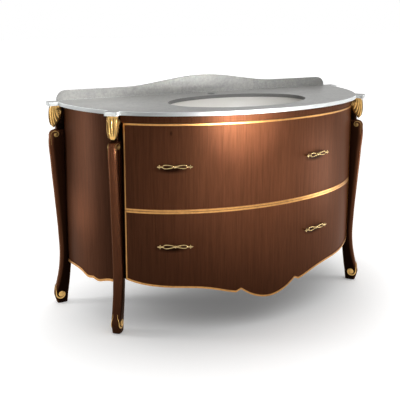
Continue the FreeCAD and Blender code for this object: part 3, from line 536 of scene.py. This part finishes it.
class VanitySettings(bpy.types.PropertyGroup):
    """Colours and sizes that a user would change."""

    wood: FloatVectorProperty(
        name="Veneer", description="Middle tone of the veneer", subtype="COLOR", size=3,
        min=0, max=1, default=(0.125, 0.045, 0.021))
    gold: FloatVectorProperty(
        name="Gilding", description="Colour of the gold leaf", subtype="COLOR", size=3,
        min=0, max=1, default=(0.83, 0.51, 0.17))
    marble: FloatVectorProperty(
        name="Marble", description="Middle tone of the marble", subtype="COLOR", size=3,
        min=0, max=1, default=(0.325, 0.322, 0.308))
    vein: FloatVectorProperty(
        name="Veins", description="Colour of the marble's veins", subtype="COLOR", size=3,
        min=0, max=1, default=(0.25, 0.25, 0.245))
    # Pale colour painted on the slab's outer edge as a highlight
    marble_edge_highlight: FloatVectorProperty(
        name="Marble edge", description="Tone of the slab's cut edge", subtype="COLOR", size=3,
        min=0, max=1, default=(0.95, 0.98, 0.97))
    glaze: FloatVectorProperty(
        name="Glaze", description="Colour of the basin", subtype="COLOR", size=3,
        min=0, max=1, default=(0.68, 0.665, 0.63))
    brass: FloatVectorProperty(
        name="Pulls", description="Colour of the pulls", subtype="COLOR", size=3,
        min=0, max=1, default=(0.62, 0.45, 0.21))
    veneer_roughness: FloatProperty(
        name="Veneer roughness", description="Roughness of the lacquered veneer", subtype="FACTOR",
        min=0, max=1, default=0.36)
    scroll_wire: FloatProperty(
        name="Scroll line", description="Radius of the gilt line in the scrolls", unit="LENGTH",
        min=0.0005, max=0.005, default=0.0019)
    pull_wire: FloatProperty(
        name="Pull bar", description="Radius of the bar of a pull's loops", unit="LENGTH",
        min=0.001, max=0.004, default=0.0022)
    flute: FloatProperty(
        name="Flute depth", description="Depth of the flutes in the gilt caps", unit="LENGTH",
        min=0.0, max=0.006, default=0.0045)


def settings():
    return bpy.context.scene.vanity


class VANITY_OT_finishes(bpy.types.Operator):
    """Give every solid the finish of its material slot"""

    bl_idname = "vanity.finishes"
    bl_label = "Finishes"

    def execute(self, context):
        p = settings()
        wood, gold = tuple(p.wood), tuple(p.gold)
        MATERIALS["veneer"] = front_material("veneer", wood, p.veneer_roughness, VENEER_GLOSS)
        turn = math.radians(LEG_FRONT_TURN)
        for end, across in (("front", (math.cos(turn), math.sin(turn))), ("rear", (0.0, 1.0))):
            name = f"{end}_leg"
            MATERIALS[name] = leg_material(name, wood, LEG_ROUGHNESS, LEG_GLOSS, across)
        MATERIALS["side_veneer"] = side_material("side_veneer", wood, p.veneer_roughness, VENEER_GLOSS)
        plain = {
            "carcass_board": (BOARD_COLOR, BOARD_ROUGHNESS),
            "drawer_wood": (DRAWER_COLOR, DRAWER_ROUGHNESS),
        }
        for name, (color, rough) in plain.items():
            MATERIALS[name] = veneer_shader(name, color, rough, 0.0)[0].material
        gilded = {
            "gilding": (gold, GILDING_ROUGHNESS),
            "bead_gilding": (BEAD_COLOR, BEAD_ROUGHNESS),
            "aged_gilding": (shade(gold, SHADED_GILDING_SHARE), SHADED_GILDING_ROUGHNESS),
        }
        for name, (color, rough) in gilded.items():
            MATERIALS[name] = gilding_material(name, color, rough)
        # The upstand takes a lighter copy of the marble, as painted light
        for name, tone in (("marble", 1.0), ("upstand_marble", UPSTAND_LIGHT_SHARE)):
            stone, vein = shade(p.marble, tone), shade(p.vein, tone)
            MATERIALS[name] = marble_material(name, stone, vein, tuple(p.marble_edge_highlight))
        MATERIALS["basin_ceramic"] = glaze_material("basin_ceramic", tuple(p.glaze))
        metals = {
            "chrome": (CHROME_COLOR, CHROME_ROUGHNESS, EVEN, CHROME_WORN),
            "antique_brass": (tuple(p.brass), BRASS_ROUGHNESS, EVEN, BRASS_WORN),
            "steel": (STEEL_COLOR, STEEL_ROUGHNESS, STEEL_BRUSHING, STEEL_WORN),
        }
        for name, values in metals.items():
            MATERIALS[name] = metal_material(name, *values)
        MATERIALS["glide_plastic"] = plastic_material("glide_plastic", GLIDE_COLOR)
        ends = [(end, side) for end in ("front", "rear") for side in ("left", "right")]
        special = {f"leg_{end}_{side}": f"{end}_leg" for end, side in ends}
        special["marble_upstand"] = "upstand_marble"
        special |= {name: "bead_gilding" for name in NODES if "_bead" in name}
        special |= {name: "side_veneer" for name in NODES if name.startswith("side_panel")}
        for name, node in NODES.items():
            node.data.materials.clear()
            node.data.materials.append(MATERIALS[special.get(name, NODE_SLOTS[name])])
        return {"FINISHED"}


# Legs and carving

# Leg: height, inner and outer reach, width, squareness of the outer side
LEG_ROWS = [
    (0.003, 0.008, 0.052, 0.0360, 4.0), (0.024, 0.005, 0.0585, 0.0367, 4.0),
    (0.043, 0.003, 0.062, 0.0372, 4.0), (0.058, 0.0005, 0.0595, 0.0377, 4.0),
    (0.090, -0.004, 0.0505, 0.0386, 3.6), (0.122, -0.008, 0.043, 0.0396, 3.2),
    (0.160, -0.012, 0.0365, 0.0407, 2.9), (0.204, -0.015, 0.0325, 0.042, 2.7),
    (0.3195, -0.020, 0.035, 0.042, 2.6), (0.461, -0.024, 0.0445, 0.042, 2.6),
    (0.624, -0.026, 0.056, 0.042, 2.6), (0.729, -0.026, 0.060, 0.042, 2.8),
    (0.751, -0.026, 0.0565, 0.0415, 2.8), (0.760, -0.026, 0.048, 0.039, 2.8),
    (0.764, -0.026, 0.036, 0.034, 2.8),
]
# Neck between a leg's shoulder and the marble, in the same columns
NECK_ROWS = [
    (0.760, -0.026, 0.031, 0.035, 5.0), (0.776, -0.026, 0.030, 0.035, 5.0),
    (0.791, -0.026, 0.0265, 0.035, 5.0), (0.805, -0.026, 0.017, 0.035, 5.0),
    (0.819, -0.026, 0.008, 0.035, 5.0), (0.865, -0.026, 0.006, 0.035, 5.0),
]
INNER_SQUARENESS = 5.0
# Gilt cap: drop below the marble, inner and outer reach, width
CAP_ROWS = [
    (0.0, 0.004, 0.045, 0.036), (0.016, 0.004, 0.051, 0.038), (0.032, 0.004, 0.0525, 0.038),
    (0.046, 0.0055, 0.052, 0.0375), (0.060, 0.012, 0.0505, 0.0365), (0.074, 0.022, 0.048, 0.0345),
    (0.085, 0.031, 0.045, 0.030), (0.092, 0.0365, 0.042, 0.018),
]
# Leaf fingers on a cap's side: start, bend and tip, each as reach and height
CAP_FINGERS = [
    ((0.028, 0.863), (0.035, 0.834), (0.0165, 0.812)), ((0.035, 0.863), (0.043, 0.822), (0.0245, 0.797)),
    ((0.042, 0.863), (0.050, 0.815), (0.0345, 0.785)), ((0.048, 0.862), (0.056, 0.812), (0.0440, 0.778)),
]
# Bars of the fingers and the volute: radius at the start and what it gains; a finger's tip in shares of its run
FINGER_RADIUS = 0.0017
FINGER_SWELL = 0.0022
FINGER_TIP_START = 0.86
FINGER_TIP_RUN = 0.145
VOLUTE_RADIUS = 0.0012
VOLUTE_SWELL = 0.001
# Leaf: powers that square its sections, its middle rib, and the barbs beside it
LEAF_ACROSS_POWER = 0.6
LEAF_REACH_POWER = 0.55
RIB_SHARE = 0.75
RIB_WIDTH = 0.13
BARB_DEPTH = 0.0006
BARB_PITCH = 0.009
BARB_SLANT = 1.2
# How far the leaf's flanks and the fingers lie inside a cap's width, and the volute from its middle
CAP_INSET = 0.0022
VOLUTE_OFFSET = 0.0176
VOLUTE_DOME_OFFSET = 0.0174
# Painted shade in the hollows: beside the carving, in the front of the leaf, and where a ridge meets its ground
FLANK_SHADE = 0.9
LEAF_SHADE = 0.85
RIDGE_SHADE = 0.9
RIDGE_CLEAR = 0.45
# Scrolls: eye and tail as reach and height, radius of the button, share of the set line width
CAP_EYE = (0.0196, 0.8355)
FOOT_EYE = (0.036, 0.042)
FOOT_TAIL = ((0.0555, 0.084), (0.0575, 0.062))
FOOT_BUTTON = 0.0115
FOOT_WIRE = 1.35
SHOULDER_EYE = (0.035, 0.7436)
SHOULDER_TAIL = ((0.0535, 0.700), (0.0545, 0.724))
SHOULDER_BUTTON = 0.008
SHOULDER_WIRE = 0.8
# Scroll lines: turn from the outward direction in degrees and distance from the eye
FOOT_CURL = [(0.0, 0.0205), (90.0, 0.0172), (180.0, 0.0147), (270.0, 0.0108), (320.0, 0.0098)]
SHOULDER_CURL = [(0.0, 0.0185), (90.0, 0.0142), (180.0, 0.0112), (270.0, 0.0082), (320.0, 0.0075)]
CAP_CURL = [(0.0, 0.0112), (180.0, 0.0092), (360.0, 0.0062), (540.0, 0.0032), (600.0, 0.0024)]
# Dome of a scroll's button: distance out, and radius in shares of the button's; dome in the volute's eye
BUTTON_DOME = [(-0.001, 1.0), (0.0006, 1.0), (0.0016, 0.86), (0.0023, 0.5), (0.0025, 0.08)]
VOLUTE_DOME = [(-0.002, 0.0026), (0.0008, 0.0026), (0.0018, 0.0016), (0.002, 0.0002)]
SIDEWAYS = (0, 1, 0)


def ease(low, high, x):
    """Smooth step from 0 at low to 1 at high: three squares less two cubes of the share between."""
    s = np.clip((x - low) / (high - low), 0, 1)
    return s * s * (3 - 2 * s)


def bend(points, count):
    """Quadratic curve through a start, towards a bend, to an end."""
    a, b, c = (np.asarray(p, float) for p in points)
    s = np.linspace(0, 1, count)[:, None]
    return (1 - s) ** 2 * a + 2 * s * (1 - s) * b + s ** 2 * c


def curl(eye, keys, way, count=64):
    """Spiral about an eye: it starts outward and turns down (way -1) or up (way 1)."""
    rows = smooth_rows(keys, count)
    angle, distance = way * np.radians(rows[:, 0]), rows[:, 1]
    return np.stack([eye[0] + distance * np.cos(angle), eye[1] + distance * np.sin(angle)], axis=1)


def in_side_plane(path, sideways):
    """Reach and height rows with a sideways offset put between them."""
    return np.stack([path[:, 0], np.broadcast_to(sideways, len(path)), path[:, 1]], axis=1)


def leg_surface(keys, count):
    """Level ovals up the leg: powers of cosine and sine, squarer on the inner side than on the outer."""
    height, inner, outer, width, power = (column[:, None] for column in smooth_rows(keys, count).T)
    turn = np.linspace(0, 2 * np.pi, 64, endpoint=False)[None, :]
    cosine, sine = np.cos(turn), np.sin(turn)
    bow = 2 / np.where(cosine > 0, power, INNER_SQUARENESS)
    reach = (inner + outer) / 2 + (outer - inner) / 2 * np.sign(cosine) * np.abs(cosine) ** bow
    sideways = width / 2 * np.sign(sine) * np.abs(sine) ** bow
    return np.stack([reach, sideways, np.broadcast_to(height, reach.shape)], axis=-1)


def leg_half(reach, height):
    """Half the leg's width at a reach on its outer side."""
    rows = smooth_rows(LEG_ROWS, 200)
    inner, outer, width, power = (np.interp(height, rows[:, 0], rows[:, i]) for i in range(1, 5))
    share = np.clip((2 * reach - inner - outer) / (outer - inner), 0, 0.98)
    return width / 2 * (1 - share ** power) ** (1 / power)


class VANITY_OT_legs(bpy.types.Operator):
    """Scrolled legs with a bowed outer side and a neck under the cap"""

    bl_idname = "vanity.legs"
    bl_label = "Legs"

    def execute(self, context):
        for name, base, out in leg_frames():
            form = Form()
            form.add(on_leg(leg_surface(LEG_ROWS, 160), base, out))
            form.add(on_leg(leg_surface(NECK_ROWS, 24), base, out))
            finish = MATERIALS[f"{name.split('_')[0]}_leg"]
            form.object(f"bowed_leg_{name}", finish, "carcass", "veneer", (f"leg_{name}",))
        return {"FINISHED"}


def scroll(form, base, out, eye, keys, way, tail, side, wire, button):
    """Gilt line with a tail that curls round a domed button on a leg's side."""
    spiral = curl(eye, keys, way)
    lead = bend([tail[0], tail[1], spiral[0]], 18)[:-1]
    line = np.concatenate([lead, spiral])
    path = in_side_plane(line, side * leg_half(line[:, 0], line[:, 1]))
    share = np.linspace(0, 1, len(path))
    radii = wire * (0.35 + 0.95 * ease(0, 0.35, share) - 0.45 * ease(0.6, 1, share))
    form.add(on_leg(tube(path, radii, SIDEWAYS, 12, flat=0.65), base, out))
    dome = [(rise, share * button) for rise, share in BUTTON_DOME]
    place = (eye[0], side * leg_half(*eye), eye[1])
    form.add(on_leg(lathe(dome, place, (0, side, 0), 28), base, out))


class VANITY_OT_leg_scrolls(bpy.types.Operator):
    """Gilt scroll lines on the feet and the shoulders of the legs"""

    bl_idname = "vanity.leg_scrolls"
    bl_label = "Leg scrolls"

    def execute(self, context):
        wire = settings().scroll_wire
        for name, base, out in leg_frames():
            foot, shoulder = Form(), Form()
            for side in (-1, 1):
                scroll(foot, base, out, FOOT_EYE, FOOT_CURL, -1, FOOT_TAIL,
                       side, FOOT_WIRE * wire, FOOT_BUTTON)
                scroll(shoulder, base, out, SHOULDER_EYE, SHOULDER_CURL, 1, SHOULDER_TAIL,
                       side, SHOULDER_WIRE * wire, SHOULDER_BUTTON)
            foot.object(f"foot_scrolls_{name}", MATERIALS["gilding"], "carcass", "gilding")
            # Shoulder scrolls take the darker copy of the gilding as painted shade
            shoulder.object(f"shoulder_scrolls_{name}", MATERIALS["aged_gilding"], "carcass", "gilding")
        return {"FINISHED"}


def ridge(form, base, out, path, radii, side, columns, flat, foot):
    """Bar along a cap's side, with painted shade up to where it has risen from its ground."""
    bar = tube(path, radii, SIDEWAYS, columns, flat=flat)
    lift = side * (bar[..., 1] - path[:, None, 1]) / radii[:, None]
    form.add(on_leg(bar, base, out), hollow=RIDGE_SHADE * (1 - ease(foot, RIDGE_CLEAR, lift)))


class VANITY_OT_leg_caps(bpy.types.Operator):
    """Carved gilt caps: a hollowed leaf in front, fingers and a volute on each side"""

    bl_idname = "vanity.leg_caps"
    bl_label = "Leg caps"

    def execute(self, context):
        flute = settings().flute
        for name, base, out in leg_frames():
            form = Form()
            leaf, hollow = self.leaf(flute)
            form.add(on_leg(leaf, base, out), hollow=hollow)
            for side in (-1, 1):
                self.fingers(form, base, out, side)
                self.volute(form, base, out, side)
            form.object(f"cap_{name}", MATERIALS["gilding"], "carcass", "gilding", (f"leg_cap_{name}",))
        return {"FINISHED"}

    @staticmethod
    def leaf(flute):
        """Powers of cosine and sine down the cap; the front is hollowed between two rims and a middle rib."""
        rows = smooth_rows(CAP_ROWS, 56)
        drop, inner, outer, width = (rows[:, i:i + 1] for i in range(4))
        turn = np.linspace(0, 2 * np.pi, 96, endpoint=False)[None, :]
        cosine, sine = np.cos(turn), np.sin(turn)
        across = np.sign(sine) * np.abs(sine) ** LEAF_ACROSS_POWER
        reach = (inner + outer) / 2 + (outer - inner) / 2 * np.sign(cosine) * np.abs(cosine) ** LEAF_REACH_POWER
        front = ease(0.2, 0.8, cosine)
        hollow = 1 - ease(0.38, 0.72, np.abs(across)) - RIB_SHARE * np.exp(-(across / RIB_WIDTH) ** 2)
        fade = ease(0.002, 0.012, drop) * (1 - ease(0.066, 0.086, drop))
        barbs = BARB_DEPTH * np.cos(2 * np.pi * (drop / BARB_PITCH - BARB_SLANT * np.abs(across)))
        reach = reach - front * fade * (flute * hollow - barbs * ease(0.1, 0.4, np.abs(across)))
        sideways = (width / 2 - CAP_INSET) * across
        height = np.broadcast_to(SLAB_UNDER - drop, reach.shape)
        # Painted shade on the flanks beside the carving and in the hollowed front of the leaf
        flank = FLANK_SHADE * (1 - ease(0.2, 0.55, np.abs(cosine))) * ease(0.004, 0.012, drop)
        shadow = np.maximum(flank, LEAF_SHADE * front * fade * np.clip(hollow, 0, 1))
        return np.stack([reach, sideways, height], axis=-1), shadow

    @staticmethod
    def fingers(form, base, out, side):
        """Bars that swell along their run and round off at the tip as a quarter circle does."""
        rows = np.asarray(CAP_ROWS)
        for points in CAP_FINGERS:
            path = bend(points, 26)
            half = np.interp(SLAB_UNDER - path[:, 1], rows[:, 0], rows[:, 3]) / 2
            share = np.linspace(0, 1, len(path))
            radii = FINGER_RADIUS + FINGER_SWELL * ease(0, 0.7, share)
            tip = np.clip(share - FINGER_TIP_START, 0, 1) / FINGER_TIP_RUN
            radii = radii * np.sqrt(np.clip(1 - tip ** 2, 0.01, 1))
            path = in_side_plane(path, side * (half - CAP_INSET))
            ridge(form, base, out, path, radii, side, 14, 0.62, 0.1)

    @staticmethod
    def volute(form, base, out, side):
        """Spiral bar that grows thicker outward, with a dome in its eye."""
        spiral = curl(CAP_EYE, CAP_CURL, 1, 72)[::-1]
        path = in_side_plane(spiral, side * VOLUTE_OFFSET)
        radii = VOLUTE_RADIUS + VOLUTE_SWELL * np.linspace(0, 1, len(spiral))
        ridge(form, base, out, path, radii, side, 12, 0.8, 0.0)
        eye = (CAP_EYE[0], side * VOLUTE_DOME_OFFSET, CAP_EYE[1])
        form.add(on_leg(lathe(VOLUTE_DOME, eye, (0, side, 0), 18), base, out))


# Pulls

PULL_STAND = 0.020
PULL_HALF = 0.058
LOOP_REACH = 0.0465
LOOP_RISE = 0.0066
LOOP_STEP = 0.9
# Turned parts: distance along and radius
BINDING = [
    (-0.0085, 0.0030), (-0.0075, 0.0050), (-0.0060, 0.0057), (-0.0045, 0.0050), (-0.0040, 0.0046),
    (-0.0030, 0.0058), (0.0, 0.0068), (0.0030, 0.0058), (0.0040, 0.0046), (0.0045, 0.0050),
    (0.0060, 0.0057), (0.0075, 0.0050), (0.0085, 0.0030),
]
FERRULE = [
    (0.0425, 0.0022), (0.0435, 0.0042), (0.0455, 0.0048), (0.0475, 0.0040), (0.0495, 0.0034),
    (0.0530, 0.0038), (0.0550, 0.0034), (0.0605, 0.0036), (0.0625, 0.0042), (0.0640, 0.0034),
    (0.0660, 0.0024), (0.0675, 0.0010), (0.0678, 0.0002),
]
CROSSBAR = [
    (-0.0088, 0.0004), (-0.0084, 0.0020), (-0.0068, 0.0028), (-0.0054, 0.0020), (-0.0030, 0.0023),
    (0.0, 0.0028), (0.0030, 0.0023), (0.0054, 0.0020), (0.0068, 0.0028), (0.0084, 0.0020), (0.0088, 0.0004),
]
# Post: share of its length, distance added to that, and radius
POST = [
    (0.0, -0.0015, 0.0036), (0.0, 0.0010, 0.0036), (0.0, 0.0025, 0.0030), (0.6, 0.0, 0.0028),
    (0.86, 0.0, 0.0040), (1.0, 0.0015, 0.0038), (1.0, 0.0040, 0.0026), (1.0, 0.0048, 0.0004),
]


def front_fall(x, run):
    """How far the bowed face falls behind its tangent, a run along from x."""
    angle = math.atan(bow_slope(x))
    there = x + run * math.cos(angle)
    return -(there - x) * math.sin(angle) + (bow_y(there) - bow_y(x)) * math.cos(angle)


def on_front(points, x, height):
    """From the pull's own frame, X along the front and -Y outward, to its place."""
    angle = math.atan(bow_slope(x))
    px, py = points[..., 0], points[..., 1]
    return np.stack([
        x + px * math.cos(angle) - py * math.sin(angle),
        bow_y(x) + px * math.sin(angle) + py * math.cos(angle),
        height + points[..., 2],
    ], axis=-1)


class VANITY_OT_pulls(bpy.types.Operator):
    """Brass pulls: a bar that crosses itself into two loops, bound in the middle, between two posts"""

    bl_idname = "vanity.pulls"
    bl_label = "Pulls"

    def execute(self, context):
        wire = settings().pull_wire
        for drawer, height in PULL_HEIGHTS.items():
            for side, x in PULL_PLACES.items():
                form = Form()
                for grid, closed in self.grids(wire, x):
                    form.add(on_front(grid, x, height), close_rows=closed)
                node, body = f"{drawer}_pull_{side}", f"{drawer}_drawer"
                form.object(f"{node}_knot", MATERIALS["antique_brass"], body, "antique_brass", (node,))
        return {"FINISHED"}

    @staticmethod
    def grids(wire, x):
        """Figure eight: sine along, double sine up, and a small step outward where the bar crosses itself."""
        turn = np.linspace(0, 2 * np.pi, 160, endpoint=False)
        along, up = LOOP_REACH * np.sin(turn), LOOP_RISE * np.sin(2 * turn)
        eight = np.stack([along, -PULL_STAND - LOOP_STEP * wire * np.cos(turn), up], axis=1)
        yield tube(eight, wire, SIDEWAYS, 12, closed=True), True
        yield lathe(BINDING, (0, -PULL_STAND, 0), (1, 0, 0), 24), False
        for side in (-1, 1):
            yield lathe(FERRULE, (0, -PULL_STAND, 0), (side, 0, 0), 20), False
            yield lathe(CROSSBAR, (side * PULL_HALF, -PULL_STAND, 0), (0, 0, 1), 16), False
            fall = front_fall(x, side * PULL_HALF)
            length = PULL_STAND + fall
            post = [(share * length + extra, radius) for share, extra, radius in POST]
            yield lathe(post, (side * PULL_HALF, fall, 0), (0, -1, 0), 20), False


# Stage

CAMERA_PLACE = (-1.348, -2.3468, 1.2314)
CAMERA_AZIMUTH = 26.695
CAMERA_DIP = 9.291
CAMERA_LENS = 57.476
CAMERA_SHIFT = -0.2
SENSOR_WIDTH = 36.0
# Lamps: place, target, size, watts and spread in degrees
LAMPS = {
    "Key": ((-0.13, -1.0, 0.81), (-0.115, -0.29, 0.84), (0.1, 0.1), 0.62, 30.0),
    "Fill": ((-0.2, -1.6, 0.78), (-0.06, -0.29, 0.64), (0.5, 0.1), 1.35, 40.0),
    "High": ((0.25, -1.2, 1.4), (0.2, 0.27, 0.93), (0.9, 0.1), 0.75, 40.0),
    "Top": ((-0.15, -0.45, 1.65), (-0.05, 0.2, 0.90), (0.6, 0.4), 0.25, 50.0),
    "Top_left": ((-0.45, -0.5, 1.5), (-0.60, 0.27, 0.92), (0.3, 0.3), 0.65, 36.0),
    "Left": ((-2.0, 0.85, 0.6), (-0.62, 0.1, 0.45), (0.3, 1.2), 6.0, 120.0),
    "Right": ((1.5, -0.7, 0.3), (0.45, -0.2, 0.4), (0.6, 0.4), 3.5, 120.0),
    "Side": ((-2.0, -0.3, 0.5), (-0.70, 0.12, 0.44), (0.1, 0.1), 0.06, 11.0),
    "Leg": ((-0.1, -1.3, 0.6), (-0.66, -0.2, 0.6), (0.12, 0.8), 1.2, 12.0),
}
# Floor: half its side, its own light near the object and far out, and the span between in shares of the zone
FLOOR_HALF = 30.0
FLOOR_LIFT = (0.07, 0.5)
FLOOR_SPAN = (0.2, 1.0)
SHADOW_ZONE = (1.15, 0.75, 0.0)
FLOOR_BOUNCE = (0.04, 0.04, 0.04)
# Studio: the dim side, how light falls off towards it, and how light grows with height
DIM_SIDE = (-0.85, -0.5, -0.15)
DIM_SPAN = (-0.2, 0.7)
DIM_LEVELS = (1.0, 0.1)
RISE_SPAN = (0.0, 0.9)
RISE_LEVELS = (0.12, 1.25)
WHITE = (1.0, 1.0, 1.0, 1.0)


def area_light(name, place, target, size, power, spread):
    """Lamp turned from its place towards a target."""
    data = bpy.data.lights.new(name, "AREA")
    data.shape = "RECTANGLE"
    data.size, data.size_y = size
    data.energy = power
    data.spread = math.radians(spread)
    lamp = bpy.data.objects.new(name, data)
    aim = np.asarray(target, float) - np.asarray(place, float)
    flat = math.hypot(aim[0], aim[1])
    lamp.location = place
    lamp.visible_camera = False
    lamp.rotation_euler = (math.atan2(flat, -aim[2]), 0.0, math.atan2(-aim[0], aim[1]))
    bpy.context.scene.collection.objects.link(lamp)


def seen_directly(tree):
    """1 for rays from the camera, a mirror or glass, else 0."""
    path = tree.nodes.new("ShaderNodeLightPath")
    total = path.outputs["Is Camera Ray"]
    for other in ("Is Glossy Ray", "Is Transmission Ray"):
        add = tree.nodes.new("ShaderNodeMath")
        add.operation = "ADD"
        add.use_clamp = True
        tree.links.new(total, add.inputs[0])
        tree.links.new(path.outputs[other], add.inputs[1])
        total = add.outputs["Value"]
    return total


class VANITY_OT_stage(bpy.types.Operator):
    """Set up the floor, the lights, the surroundings and the camera"""

    bl_idname = "vanity.stage"
    bl_label = "Stage"

    def execute(self, context):
        scene = context.scene
        self.floor(scene)
        self.surroundings(scene)
        for name, values in LAMPS.items():
            area_light(name, *values)
        data = bpy.data.cameras.new("Camera")
        data.sensor_width = SENSOR_WIDTH
        data.lens = CAMERA_LENS
        data.shift_y = CAMERA_SHIFT
        camera = bpy.data.objects.new("Camera", data)
        camera.location = CAMERA_PLACE
        camera.rotation_euler = (math.radians(90.0 - CAMERA_DIP), 0.0, math.radians(-CAMERA_AZIMUTH))
        scene.collection.objects.link(camera)
        scene.camera = camera
        scene.view_settings.view_transform = "Standard"
        return {"FINISHED"}

    @staticmethod
    def floor(scene):
        """Pale ground that takes the shadow, lifted to white far out where camera and reflections see it."""
        mesh = bpy.data.meshes.new("Floor")
        corners = ((-1, -1), (1, -1), (1, 1), (-1, 1))
        mesh.from_pydata([(x * FLOOR_HALF, y * FLOOR_HALF, 0) for x, y in corners], [], [(0, 1, 2, 3)])
        floor = bpy.data.objects.new("Floor", mesh)
        scene.collection.objects.link(floor)
        s = Shader("floor")
        slow = s.noise(s.place(), scale=2.0, detail=2.0)
        ground = s.ramp(slow, [(0.3, (0.89, 0.89, 0.885)), (0.7, (0.9, 0.9, 0.895))])
        seen = seen_directly(s.tree)
        s.set(Base_Color=s.mix(seen, (*FLOOR_BOUNCE, 1.0), ground), Roughness=0.9, Specular_IOR_Level=0.0)
        lift = map_range(s.tree, FLOOR_SPAN, FLOOR_LIFT)
        lift.interpolation_type = "SMOOTHSTEP"
        s.link(s.away((0.0, 0.0, 0.0), SHADOW_ZONE), lift.inputs["Value"])
        s.set(Emission_Color=WHITE, Emission_Strength=s.math("MULTIPLY", lift.outputs["Result"], seen))
        mesh.materials.append(s.material)

    @staticmethod
    def surroundings(scene):
        """White where it is seen; as light, bright above and to the right and dim in front on the left."""
        world = bpy.data.worlds.new("Studio")
        world.use_nodes = True
        scene.world = world
        tree = world.node_tree
        tree.nodes.clear()
        output = tree.nodes.new("ShaderNodeOutputWorld")
        coordinates = tree.nodes.new("ShaderNodeTexCoord")
        facing = tree.nodes.new("ShaderNodeVectorMath")
        facing.operation = "DOT_PRODUCT"
        facing.inputs[1].default_value = DIM_SIDE
        level = map_range(tree, DIM_SPAN, DIM_LEVELS)
        split = tree.nodes.new("ShaderNodeSeparateXYZ")
        rise = map_range(tree, RISE_SPAN, RISE_LEVELS)
        strength = tree.nodes.new("ShaderNodeMath")
        strength.operation = "MULTIPLY"
        lit = tree.nodes.new("ShaderNodeBackground")
        seen = tree.nodes.new("ShaderNodeBackground")
        mix = tree.nodes.new("ShaderNodeMixShader")
        link = tree.links.new
        link(coordinates.outputs["Generated"], facing.inputs[0])
        link(facing.outputs["Value"], level.inputs["Value"])
        link(coordinates.outputs["Generated"], split.inputs["Vector"])
        link(split.outputs["Z"], rise.inputs["Value"])
        link(level.outputs["Result"], strength.inputs[0])
        link(rise.outputs["Result"], strength.inputs[1])
        link(strength.outputs["Value"], lit.inputs["Strength"])
        link(seen_directly(tree), mix.inputs["Fac"])
        link(lit.outputs["Background"], mix.inputs[1])
        link(seen.outputs["Background"], mix.inputs[2])
        link(mix.outputs["Shader"], output.inputs["Surface"])
        for background in (lit, seen):
            background.inputs["Color"].default_value = WHITE


OPERATORS = (
    VANITY_OT_finishes, VANITY_OT_legs, VANITY_OT_leg_scrolls, VANITY_OT_leg_caps, VANITY_OT_pulls,
    VANITY_OT_stage,
)


class VIEW3D_PT_vanity(bpy.types.Panel):
    """Sidebar tab of the vanity unit"""

    bl_label = "Vanity unit"
    bl_space_type = "VIEW_3D"
    bl_region_type = "UI"
    bl_category = "Vanity"

    def draw(self, context):
        for key in VanitySettings.__annotations__:
            self.layout.prop(context.scene.vanity, key)
        for operator in OPERATORS:
            self.layout.operator(operator.bl_idname)


CLASSES = (VanitySettings, *OPERATORS, VIEW3D_PT_vanity)


def register():
    for cls in CLASSES:
        bpy.utils.register_class(cls)
    bpy.types.Scene.vanity = PointerProperty(type=VanitySettings)


def unregister():
    del bpy.types.Scene.vanity
    for cls in reversed(CLASSES):
        bpy.utils.unregister_class(cls)


def main():
    register()
    for operator in OPERATORS:
        group, name = operator.bl_idname.split(".")
        getattr(getattr(bpy.ops, group), name)()


if __name__ == "__main__":
    main()
